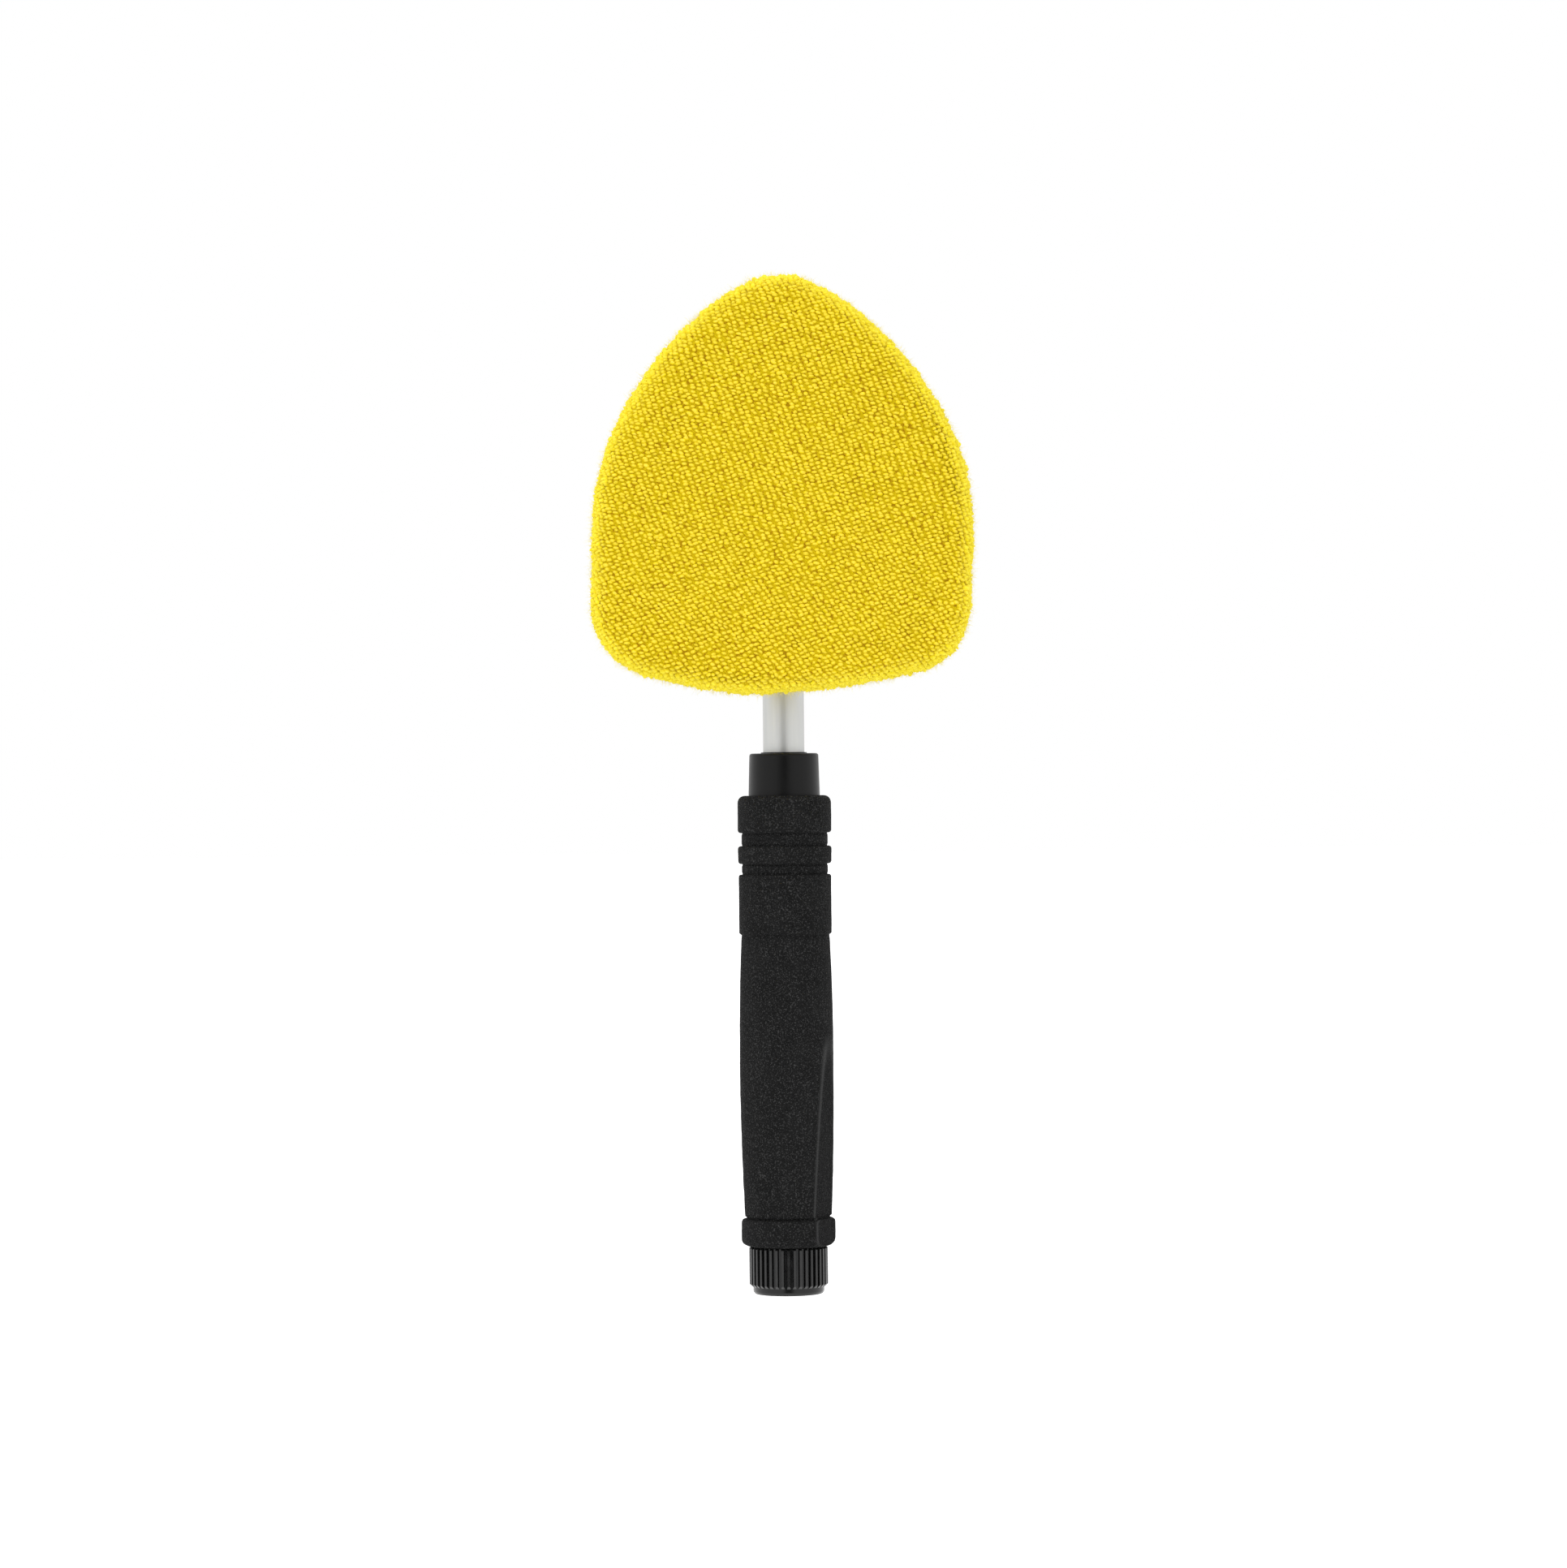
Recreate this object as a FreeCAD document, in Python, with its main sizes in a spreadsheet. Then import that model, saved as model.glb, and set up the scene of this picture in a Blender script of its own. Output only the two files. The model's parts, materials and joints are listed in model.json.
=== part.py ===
import FreeCAD, Part
import math
import os
import re

import Sketcher
from FreeCAD import Placement, Rotation, Vector

# Telescopic windscreen wand: a pear-shaped terry cleaning pad that swivels on the end of a
# twist-lock pole, with a foam handle grip and a screwed, ribbed end cap.
#
# Frame: +Z runs up the handle's axis towards the pad, the origin lies on that axis at the
# flat end of the cap, and the pad's cleaning face looks along -Y.
# Depths on the head are measured from the pole's axis towards the cleaning face, along -Y.

# Driving sizes: millimetres, counts and degrees.
SIZES = {
    # inner tube of the pole, and the bare neck of it between the collar and the pad
    "tube_dia": 14.0,
    "tube_wall": 1.0,
    "neck_length": 20.0,
    # outer tube inside the grip, and the bush that guides the pole in it
    "outer_wall": 1.0,
    "bush_wall": 1.35,
    "bush_length": 16.7,
    "bush_slot": 1.6,
    # fits and running gaps
    "glue_gap": 0.05,
    "slide_gap": 0.1,
    "face_gap": 0.05,
    "end_gap": 0.3,
    "overrun": 5.0,
    # end cap
    "cap_height": 16.0,
    "cap_floor": 3.2,
    "cap_wall": 1.35,
    "cap_rib_rise": 0.9,
    "cap_rib_width": 1.25,
    "cap_rib_crest": 0.8,
    "cap_rib_count": 40,
    "cap_lip_step": 0.35,
    "cap_lip_height": 2.5,
    "cap_lip_round": 1.2,
    "cap_rib_bevel": 0.9,
    "cap_mouth_bevel": 0.5,
    # gasket and threaded ferrule under the cap
    "gasket_thick": 1.2,
    "gasket_width": 2.75,
    "ferrule_wall": 1.45,
    "ferrule_length": 25.5,
    "ferrule_bevel": 0.6,
    # foam grip, from its flange at the cap to its bands at the collar
    "flange_dia": 31.9,
    "flange_height": 9.3,
    "flange_foot_round": 2.6,
    "flange_top_round": 1.0,
    "barrel_foot_dia": 29.5,
    "barrel_peak_dia": 31.7,
    "barrel_peak_height": 68.0,
    "barrel_top_dia": 30.0,
    "barrel_length": 94.7,
    "band_step": 1.7,
    "lower_band_dia": 31.4,
    "lower_band_height": 20.1,
    "lower_groove_height": 3.6,
    "ring_height": 6.0,
    "upper_groove_height": 4.5,
    "groove_dia": 29.2,
    "top_band_dia": 31.7,
    "top_band_height": 12.6,
    "top_band_round": 2.2,
    "band_round": 1.0,
    "facet_foot_depth": 1.85,
    "facet_below_peak": 8.0,
    "facet_right_angle": 66.0,
    "facet_left_angle": -108.0,
    # guide collar and split bush at the grip's upper end
    "collar_height": 14.3,
    "collar_step": 1.1,
    "collar_taper": 0.4,
    "collar_round": 0.9,
    "collar_roof": 5.1,
    "collar_lip_width": 0.7,
    "collar_lip_height": 0.35,
    "skirt_length": 10.8,
    "skirt_wall": 1.45,
    # expanding lock inside the outer tube
    "cone_release": 1.0,
    "cone_gap": 0.6,
    "cone_length": 10.0,
    "cone_foot_dia": 12.0,
    "cone_foot_height": 2.0,
    "cone_top_dia": 6.6,
    "cone_reach": 4.0,
    "dowel_length": 22.0,
    "dowel_slot": 1.6,
    "dowel_slot_length": 15.0,
    "dowel_slot_count": 4,
    "dowel_groove_depth": 0.6,
    "dowel_groove_height": 2.0,
    "dowel_groove_pitch": 5.0,
    "stud_dia": 5.0,
    "plug_length": 15.0,
    "spindle_flange_height": 2.0,
    # swivel knuckle and its rivet
    "knuckle_drop": 18.0,
    "shoulder_height": 3.0,
    "knuckle_plug_length": 18.0,
    "eye_radius": 7.5,
    "eye_width": 9.0,
    "eye_bevel": 0.6,
    "rivet_dia": 3.0,
    "rivet_head_dia": 5.2,
    "rivet_head_height": 1.3,
    "rivet_head_round": 1.0,
    "rivet_inset": 6.0,
    # outline of the terry pad: its tip above the swivel pin, its foot below, and its widest
    # level above the foot
    "head_half_width": 64.3,
    "tip_rise": 76.7,
    "foot_drop": 63.9,
    "side_rise": 50.6,
    "tip_radius": 26.4,
    "corner_radius": 25.1,
    "foot_radius": 173.0,
    # layers of the pad, from the pole's axis outwards
    "stand_off": 13.0,
    "plate_thick": 3.0,
    "foam_thick": 8.0,
    "cloth_thick": 3.0,
    "soft_gap": 0.3,
    "plate_inset": 1.2,
    "plate_round": 0.8,
    "front_round": 8.0,
    "back_round": 5.5,
    # mouth of the terry cover behind the plate, with its elastic hem
    "mouth_half_width": 42.0,
    "mouth_tip_drop": 25.1,
    "mouth_foot_rise": 21.6,
    "mouth_side_rise": 27.5,
    "mouth_tip_radius": 20.0,
    "mouth_corner_radius": 14.0,
    "mouth_foot_radius": 150.0,
    "hem_dia": 3.4,
    "hem_bore": 2.4,
    "elastic_dia": 1.8,
    # ribs and clevis on the back of the plate
    "rib_height": 2.0,
    "rib_width": 2.0,
    "rim_gap": 1.5,
    "hub_half_width": 13.0,
    "hub_half_height": 17.0,
    "hub_round": 4.0,
    "ear_thick": 4.0,
    "ear_radius": 7.0,
    "ear_base_half": 12.0,
    "ear_fillet": 1.2,
    "pin_hole_gap": 0.1,
    # swivel bolt, nut and friction washers
    "bolt_dia": 4.0,
    "bolt_head_dia": 7.8,
    "bolt_head_height": 2.7,
    "bolt_head_round": 1.6,
    "bolt_slot_width": 1.0,
    "bolt_slot_length": 3.8,
    "bolt_slot_depth": 1.2,
    "bolt_end": 1.4,
    "nut_flats": 7.0,
    "nut_height": 3.2,
    "washer_dia": 10.0,
    "washer_thick": 0.8,
}

# Worked-out sizes and heights: each follows from the driving sizes above.
LEVELS = {
    # heights on the handle, from the flat end of the cap
    "gasket_bottom": "cap_floor + face_gap",
    "outer_bottom": "gasket_bottom + gasket_thick + face_gap",
    "grip_bottom": "cap_height + end_gap",
    "grip_top": "grip_bottom + grip_length",
    "collar_top": "grip_top + collar_height",
    "bush_bottom": "outer_top - bush_length",
    "outer_top": "collar_top - collar_roof",
    "skirt_bottom": "grip_top - skirt_length",
    "ferrule_top": "outer_bottom + ferrule_length",
    "cone_bottom": "cap_floor + cone_gap + cone_release",
    "dowel_bottom": "cone_bottom + cone_reach",
    "dowel_top": "dowel_bottom + dowel_length",
    "spindle_flange_bottom": "dowel_top + slide_gap",
    "inner_bottom": "spindle_flange_bottom + spindle_flange_height",
    "pivot_height": "collar_top + neck_length + foot_drop",
    "inner_top": "pivot_height - knuckle_drop",
    # bores and fits
    "tube_bore": "tube_dia - 2 * tube_wall",
    "bush_bore": "tube_dia + 2 * slide_gap",
    "bush_dia": "bush_bore + 2 * bush_wall",
    "outer_bore": "bush_dia + 2 * glue_gap",
    "outer_dia": "outer_bore + 2 * outer_wall",
    "sleeve_bore": "outer_dia + 2 * glue_gap",
    "skirt_dia": "sleeve_bore + 2 * skirt_wall",
    "collar_foot_dia": "skirt_dia + 2 * collar_step",
    "collar_top_dia": "collar_foot_dia - 2 * collar_taper",
    "collar_lip_dia": "bush_bore + 2 * collar_lip_width",
    "ferrule_dia": "sleeve_bore + 2 * ferrule_wall",
    "cap_bore": "ferrule_dia + 2 * slide_gap",
    "gasket_dia": "cap_bore - 2 * end_gap",
    "gasket_bore": "gasket_dia - 2 * gasket_width",
    "cap_root_dia": "cap_bore + 2 * cap_wall",
    "cap_rib_dia": "cap_root_dia + 2 * cap_rib_rise",
    "cap_lip_dia": "cap_root_dia - 2 * cap_lip_step",
    "dowel_dia": "outer_bore - 2 * slide_gap",
    "plug_dia": "tube_bore - 2 * glue_gap",
    "pin_hole_dia": "bolt_dia + 2 * pin_hole_gap",
    # steps of the grip's outline, from the grip's lower end
    "barrel_top": "flange_height + barrel_length",
    "lower_band_bottom": "barrel_top + band_step",
    "lower_band_top": "lower_band_bottom + lower_band_height",
    "ring_bottom": "lower_band_top + lower_groove_height",
    "ring_top": "ring_bottom + ring_height",
    "top_band_bottom": "ring_top + upper_groove_height",
    "grip_length": "top_band_bottom + top_band_height",
    "facet_rise": "barrel_peak_height - facet_below_peak",
    # levels of the head, from the swivel pin
    "plate_front": "stand_off + plate_thick",
    "foam_front": "plate_front + foam_thick",
    "cavity_front": "foam_front + soft_gap",
    "cover_front": "cavity_front + cloth_thick",
    "cavity_back": "stand_off - soft_gap",
    "cover_back": "cavity_back - cloth_thick",
    "foam_inset": "cloth_thick + soft_gap",
    "plate_edge_inset": "foam_inset + plate_inset",
    "hem_depth": "stand_off - slide_gap - hem_dia / 2",
    "hem_offset": "hem_dia / 2 + glue_gap",
    "rim_inset": "hem_dia / 2 + rim_gap",
    "rim_middle": "rim_inset + rib_width / 2",
    # mouth of the cover, from the swivel pin: its ends and the centres of its arcs
    "mouth_tip": "tip_rise - mouth_tip_drop",
    "mouth_foot": "mouth_foot_rise - foot_drop",
    "mouth_tip_centre": "mouth_tip - mouth_tip_radius",
    "mouth_side_centre": "mouth_foot + mouth_side_rise",
    "mouth_side_fall": "mouth_tip_centre - mouth_side_centre",
    "mouth_side_radius": "(mouth_half_width ^ 2 + mouth_side_fall ^ 2 - mouth_tip_radius ^ 2)"
                         " / (2 * (mouth_half_width - mouth_tip_radius))",
    "mouth_corner_across": "mouth_half_width - mouth_corner_radius",
    "mouth_corner_centre": "mouth_foot + mouth_foot_radius"
                           " - sqrt((mouth_foot_radius - mouth_corner_radius) ^ 2"
                           " - mouth_corner_across ^ 2)",
    # clevis, across the swivel pin
    "ear_inner": "eye_width / 2 + washer_thick + 2 * face_gap",
    "ear_outer": "ear_inner + ear_thick",
}

document = FreeCAD.newDocument("windscreen_wand")
sheet = document.addObject("Spreadsheet::Sheet", "sizes")


def fill_sheet():
    """Write every driving size as a number and every worked-out one as its formula."""
    rows = [(name, str(number)) for name, number in SIZES.items()]
    rows += [(name, "=" + formula) for name, formula in LEVELS.items()]
    for row, (name, _) in enumerate(rows, start=1):
        sheet.set(f"A{row}", name.replace("_", " "))
        sheet.setAlias(f"B{row}", name)
    for row, (_, text) in enumerate(rows, start=1):
        sheet.set(f"B{row}", text)
    document.recompute()


def bound(text):
    """The same formula with each size's name pointing into the sheet."""
    def point(word):
        name = word.group(0)
        return "sizes." + name if name in SIZES or name in LEVELS else name
    return re.sub(r"[a-z_]+", point, text)


def value(text):
    """The number that a formula on the sheet's names gives."""
    return float(sheet.evalExpression(text))


# Making bodies, sketches and features


def new_body(label, base="0"):
    """A body for one sub-part; its origin stands on the axis at the height of base."""
    body = document.addObject("PartDesign::Body", label)
    body.Label = label
    body.Placement = Placement(Vector(0, 0, value(base)), Rotation())
    body.setExpression("Placement.Base.z", bound(base))
    return body


def origin_item(body, role):
    return next(item for item in body.Origin.OriginFeatures if item.Role == role)


def new_sketch(body, name, role, offset="0", turn=0.0):
    """A sketch on one of the body's own planes, moved along its normal by offset."""
    sketch = body.newObject("Sketcher::SketchObject", name)
    sketch.AttachmentSupport = (origin_item(body, role), "")
    sketch.MapMode = "FlatFace"
    turned = Rotation(Vector(0, 1, 0), turn)
    sketch.AttachmentOffset = Placement(Vector(0, 0, value(offset)), turned)
    sketch.setExpression("AttachmentOffset.Base.z", bound(offset))
    return sketch


def hold(sketch, kind, formula, *where):
    """A sized constraint bound to the sheet."""
    index = sketch.addConstraint(Sketcher.Constraint(kind, *where, value(formula)))
    name = f"size_{index}"
    sketch.renameConstraint(index, name)
    sketch.setExpression("Constraints." + name, bound(formula))


def arc_about_height(start, end, height):
    """The arc from start up to end whose centre lies at a given height."""
    gap = (start[0] ** 2 - end[0] ** 2) + (start[1] - height) ** 2 - (end[1] - height) ** 2
    centre = Vector(gap / (2 * (start[0] - end[0])), height, 0)
    first = math.atan2(start[1] - centre.y, start[0] - centre.x)
    last = math.atan2(end[1] - centre.y, end[0] - centre.x)
    radius = math.hypot(start[0] - centre.x, start[1] - centre.y)
    return Part.ArcOfCircle(Part.Circle(centre, Vector(0, 0, 1), radius), first, last)


def draw_loop(sketch, corners, arcs=None):
    """A closed loop through corners; arcs maps a side's number to its centre's height."""
    arcs = arcs or {}
    spots = [(value(across), value(up)) for across, up in corners]
    count = len(spots)
    first = sketch.GeometryCount
    for side, spot in enumerate(spots):
        following = spots[(side + 1) % count]
        if side in arcs:
            shape = arc_about_height(spot, following, value(arcs[side]))
        else:
            shape = Part.LineSegment(Vector(*spot, 0), Vector(*following, 0))
        sketch.addGeometry(shape, False)
    for side in range(count):
        following = first + (side + 1) % count
        sketch.addConstraint(Sketcher.Constraint("Coincident", first + side, 2, following, 1))
    for side, (across, up) in enumerate(corners):
        hold(sketch, "DistanceX", across, -1, 1, first + side, 1)
        hold(sketch, "DistanceY", up, -1, 1, first + side, 1)
    for side, height in arcs.items():
        hold(sketch, "DistanceY", height, -1, 1, first + side, 3)


def draw_circle(sketch, diameter, across="0", up="0"):
    centre = Vector(value(across), value(up), 0)
    radius = value(diameter) / 2
    index = sketch.addGeometry(Part.Circle(centre, Vector(0, 0, 1), radius), False)
    hold(sketch, "Diameter", diameter, index)
    hold(sketch, "DistanceX", across, -1, 1, index, 3)
    hold(sketch, "DistanceY", up, -1, 1, index, 3)


def draw_rectangle(sketch, left, right, low, high):
    draw_loop(sketch, [(left, low), (right, low), (right, high), (left, high)])


def draw_pear(sketch, half, tip, foot, level, radii, inset="0"):
    """A pear outline of tangent arcs and two upright sides, set in by inset all round.

    level is the height where the side arcs turn upright; radii holds the radii of the tip,
    the corners and the foot. The side arcs take the radius that meets the tip's arc.
    """
    half, tip, foot = f"{half} - ({inset})", f"{tip} - ({inset})", f"{foot} + ({inset})"
    tip_r, corner_r, foot_r = [f"({radius} - ({inset}))" for radius in radii]
    wide, top, low, side_centre = value(half), value(tip), value(foot), value(level)
    tip_n, corner_n, foot_n = [value(text) for text in (tip_r, corner_r, foot_r)]
    tip_centre = top - tip_n
    foot_centre = low + foot_n
    fall = tip_centre - side_centre
    side_n = (wide ** 2 + fall ** 2 - tip_n ** 2) / (2 * (wide - tip_n))
    lean = math.atan2(fall, side_n - wide)
    climb = math.sqrt((foot_n - corner_n) ** 2 - (wide - corner_n) ** 2)
    corner_centre = foot_centre - climb
    dip = math.atan2(climb, wide - corner_n)
    full = 2 * math.pi
    arcs = {
        "right_side": (wide - side_n, side_centre, side_n, 0, lean),
        "tip": (0, tip_centre, tip_n, lean, math.pi - lean),
        "left_side": (side_n - wide, side_centre, side_n, math.pi - lean, math.pi),
        "left_corner": (corner_n - wide, corner_centre, corner_n, math.pi, math.pi + dip),
        "foot": (0, foot_centre, foot_n, math.pi + dip, full - dip),
        "right_corner": (wide - corner_n, corner_centre, corner_n, full - dip, full),
    }

    def arc(name):
        across, up, radius, start, end = arcs[name]
        circle = Part.Circle(Vector(across, up, 0), Vector(0, 0, 1), radius)
        return Part.ArcOfCircle(circle, start, end)

    def upright(across, start, end):
        return Part.LineSegment(Vector(across, start, 0), Vector(across, end, 0))

    shapes = [
        arc("right_side"), arc("tip"), arc("left_side"),
        upright(-wide, side_centre, corner_centre),
        arc("left_corner"), arc("foot"), arc("right_corner"),
        upright(wide, corner_centre, side_centre),
    ]
    first = sketch.GeometryCount
    sketch.addGeometry(shapes, False)
    names = ["right_side", "tip", "left_side", "left_line", "left_corner", "foot",
             "right_corner", "right_line"]
    spot = {name: first + place for place, name in enumerate(names)}
    for place in range(len(shapes)):
        following = first + (place + 1) % len(shapes)
        sketch.addConstraint(Sketcher.Constraint("Tangent", first + place, 2, following, 1))
    for name, radius in (("tip", tip_r), ("left_corner", corner_r), ("foot", foot_r),
                         ("right_corner", corner_r)):
        hold(sketch, "Radius", radius, spot[name])
    for name in ("right_side", "left_side"):
        hold(sketch, "DistanceY", level, -1, 1, spot[name], 3)
    for name in ("tip", "foot"):
        sketch.addConstraint(Sketcher.Constraint("PointOnObject", spot[name], 3, -2))
    for name in ("left_line", "right_line"):
        sketch.addConstraint(Sketcher.Constraint("Vertical", spot[name]))
    hold(sketch, "DistanceY", f"{tip} - {tip_r}", -1, 1, spot["tip"], 3)
    hold(sketch, "DistanceY", f"{foot} + {foot_r}", -1, 1, spot["foot"], 3)
    hold(sketch, "DistanceX", half, -1, 1, spot["right_line"], 1)
    hold(sketch, "DistanceX", half, spot["left_line"], 1, -1, 1)


def add_revolution(body, name, corners, arcs=None, kind="Revolution"):
    """A loop of (radius, height) corners turned about the upright axis."""
    sketch = new_sketch(body, name + "_profile", "XZ_Plane")
    draw_loop(sketch, corners, arcs)
    turned = body.newObject("PartDesign::" + kind, name)
    turned.Profile = sketch
    turned.ReferenceAxis = (sketch, ["V_Axis"])
    turned.Angle = 360
    document.recompute()
    return turned


def add_pad(body, sketch, length, back=False, middle=False):
    pad = body.newObject("PartDesign::Pad", sketch.Name + "_pad")
    pad.Profile = sketch
    pad.setExpression("Length", bound(length))
    pad.Reversed = back
    pad.Midplane = middle
    document.recompute()
    return pad


def add_pocket(body, sketch, length, back=False, middle=False):
    """A pocket that must take material away."""
    before = body.Shape.Volume
    pocket = body.newObject("PartDesign::Pocket", sketch.Name + "_pocket")
    pocket.Profile = sketch
    pocket.setExpression("Length", bound(length))
    pocket.Reversed = back
    pocket.Midplane = middle
    document.recompute()
    if body.Shape.Volume >= before:
        raise ValueError(f"{pocket.Name} cuts nothing")
    return pocket


def add_groove(body, name, corners, arcs=None):
    before = body.Shape.Volume
    groove = add_revolution(body, name, corners, arcs, kind="Groove")
    if body.Shape.Volume >= before:
        raise ValueError(f"{name} cuts nothing")
    return groove


def edge_names(feature, wanted):
    pairs = enumerate(feature.Shape.Edges, start=1)
    names = [f"Edge{number}" for number, edge in pairs if wanted(edge)]
    if not names:
        raise ValueError(f"no edge of {feature.Name} fits")
    return names


def round_edges(body, name, wanted, radius, kind="Fillet"):
    """A fillet, or a chamfer, on the wanted edges of the body as it stands."""
    feature = body.Tip
    edges = edge_names(feature, wanted)
    dressing = body.newObject("PartDesign::" + kind, name)
    dressing.Base = (feature, edges)
    dressing.setExpression("Radius" if kind == "Fillet" else "Size", bound(radius))
    document.recompute()
    return dressing


def near(one, other):
    return abs(one - other) < value("glue_gap") / 10


def ring_edge(diameter, height):
    """Picks a full or part circle about the axis by its diameter and height."""
    def wanted(edge):
        if not isinstance(edge.Curve, Part.Circle):
            return False
        flat = near(abs(edge.Curve.Axis.z), 1) and near(edge.Curve.Center.z, value(height))
        return flat and near(edge.Curve.Radius * 2, value(diameter))
    return wanted


def edge_in_depth(depth):
    """Picks edges that lie wholly at one depth of the head."""
    def wanted(edge):
        box = edge.BoundBox
        return near(box.YMin, -value(depth)) and near(box.YMax, -value(depth))
    return wanted


def round_edge(radius):
    """Picks arcs of one radius."""
    def wanted(edge):
        return isinstance(edge.Curve, Part.Circle) and near(edge.Curve.Radius, value(radius))
    return wanted


def add_polar(body, feature, count):
    pattern = body.newObject("PartDesign::PolarPattern", feature.Name + "_pattern")
    pattern.Originals = [feature]
    pattern.Axis = (origin_item(body, "Z_Axis"), [""])
    pattern.Angle = 360
    pattern.setExpression("Occurrences", bound(count))
    body.Tip = pattern
    document.recompute()
    return pattern


def add_mirrored(body, features, name, role="YZ_Plane"):
    mirrored = body.newObject("PartDesign::Mirrored", name)
    mirrored.Originals = features
    mirrored.MirrorPlane = (origin_item(body, role), [""])
    body.Tip = mirrored
    document.recompute()
    return mirrored


def radius_of(diameter):
    return f"({diameter}) / 2"


def add_tube(body, name, outside, bore, length):
    """A plain tube from the body's origin upwards."""
    outer, inner = radius_of(outside), radius_of(bore)
    return add_revolution(body, name, [(inner, "0"), (outer, "0"), (outer, length), (inner, length)])


# Handle


def make_outer_tube():
    body = new_body("outer_tube", "outer_bottom")
    add_tube(body, "wall", "outer_dia", "outer_bore", "outer_top - outer_bottom")


def make_cap_ferrule():
    """Sleeve glued on the outer tube's lower end; the cap screws on its bare part."""
    body = new_body("cap_ferrule", "outer_bottom")
    add_tube(body, "sleeve", "ferrule_dia", "sleeve_bore", "ferrule_length")
    round_edges(body, "lead_in", ring_edge("ferrule_dia", "0"), "ferrule_bevel", "Chamfer")


def make_guide_collar():
    """Collar with a skirt inside the foam, a socket for the outer tube and a lipped roof."""
    body = new_body("guide_collar", "skirt_bottom")
    seat = "skirt_length"
    top = "skirt_length + collar_height"
    roof = "outer_top + face_gap - skirt_bottom"
    skirt, socket = radius_of("skirt_dia"), radius_of("sleeve_bore")
    mouth, lip = radius_of("bush_bore"), radius_of("collar_lip_dia")
    lip_top = f"{top} + collar_lip_height"
    add_revolution(body, "shell", [
        (socket, "0"), (skirt, "0"), (skirt, seat), (radius_of("collar_foot_dia"), seat),
        (radius_of("collar_top_dia"), top), (lip, top), (lip, lip_top), (mouth, lip_top),
        (mouth, roof), (socket, roof),
    ])
    round_edges(body, "top_round", ring_edge("collar_top_dia", top), "collar_round")


def make_guide_bush():
    """Split bush in the outer tube's mouth; the pole slides in it and the lock stops at it."""
    body = new_body("guide_bush", "bush_bottom")
    length = "outer_top - bush_bottom"
    add_tube(body, "ring", "bush_dia", "bush_bore", length)
    slot = new_sketch(body, "split", "XY_Plane")
    draw_rectangle(slot, "0", "outer_dia", "-bush_slot / 2", "bush_slot / 2")
    add_pocket(body, slot, length, back=True)


def make_foam_grip():
    """Moulded foam sleeve: a flange, a barrel, two bands and a ring, with two flat facets."""
    body = new_body("foam_grip", "grip_bottom")
    groove = radius_of("groove_dia")
    ring = radius_of("top_band_dia")
    band = radius_of("lower_band_dia")
    bore = radius_of("sleeve_bore")
    low_bore = radius_of("ferrule_dia + 2 * glue_gap")
    high_bore = radius_of("skirt_dia + 2 * glue_gap")
    low_seat = "ferrule_top + end_gap - grip_bottom"
    high_seat = "skirt_bottom - end_gap - grip_bottom"
    corners = [
        (low_bore, "0"), (radius_of("flange_dia"), "0"), (radius_of("flange_dia"), "flange_height"),
        (radius_of("barrel_foot_dia"), "flange_height"),
        (radius_of("barrel_peak_dia"), "barrel_peak_height"),
        (radius_of("barrel_top_dia"), "barrel_top"),
        (band, "lower_band_bottom"), (band, "lower_band_top"),
        (groove, "lower_band_top"), (groove, "ring_bottom"),
        (ring, "ring_bottom"), (ring, "ring_top"),
        (groove, "ring_top"), (groove, "top_band_bottom"),
        (ring, "top_band_bottom"), (ring, "grip_length"),
        (high_bore, "grip_length"), (high_bore, high_seat),
        (bore, high_seat), (bore, low_seat), (low_bore, low_seat),
    ]
    add_revolution(body, "sleeve", corners, {3: "barrel_peak_height", 4: "barrel_peak_height"})
    round_edges(body, "flange_foot_round", ring_edge("flange_dia", "0"), "flange_foot_round")
    round_edges(body, "flange_top_round", ring_edge("flange_dia", "flange_height"),
                "flange_top_round")
    round_edges(body, "top_round", ring_edge("top_band_dia", "grip_length"), "top_band_round")
    for place, (dia, height) in enumerate((
            ("lower_band_dia", "lower_band_top"), ("top_band_dia", "ring_bottom"),
            ("top_band_dia", "ring_top"), ("top_band_dia", "top_band_bottom"))):
        round_edges(body, f"band_round_{place}", ring_edge(dia, height), "band_round")
    for side in ("right", "left"):
        cut_grip_facet(body, side)


def cut_grip_facet(body, side):
    """A flat on one side of the barrel and flange, deepest at the foot, running out upwards."""
    sketch = new_sketch(body, f"facet_{side}", "XZ_Plane", turn=value(f"facet_{side}_angle - 90"))
    peak = radius_of("barrel_peak_dia")
    barrel = "barrel_foot_dia / 2 - facet_foot_depth"
    flange = "flange_dia / 2 - facet_foot_depth"
    away = f"{peak} + overrun"
    draw_loop(sketch, [
        (flange, "-overrun"), (away, "-overrun"), (away, "facet_rise"), (peak, "facet_rise"),
        (barrel, "flange_height"), (flange, "flange_height"),
    ])
    add_pocket(body, sketch, "2 * barrel_peak_dia", middle=True)


# End cap and its gasket


def make_cap_gasket():
    body = new_body("cap_gasket", "gasket_bottom")
    add_tube(body, "ring", "gasket_dia", "gasket_bore", "gasket_thick")


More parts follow.
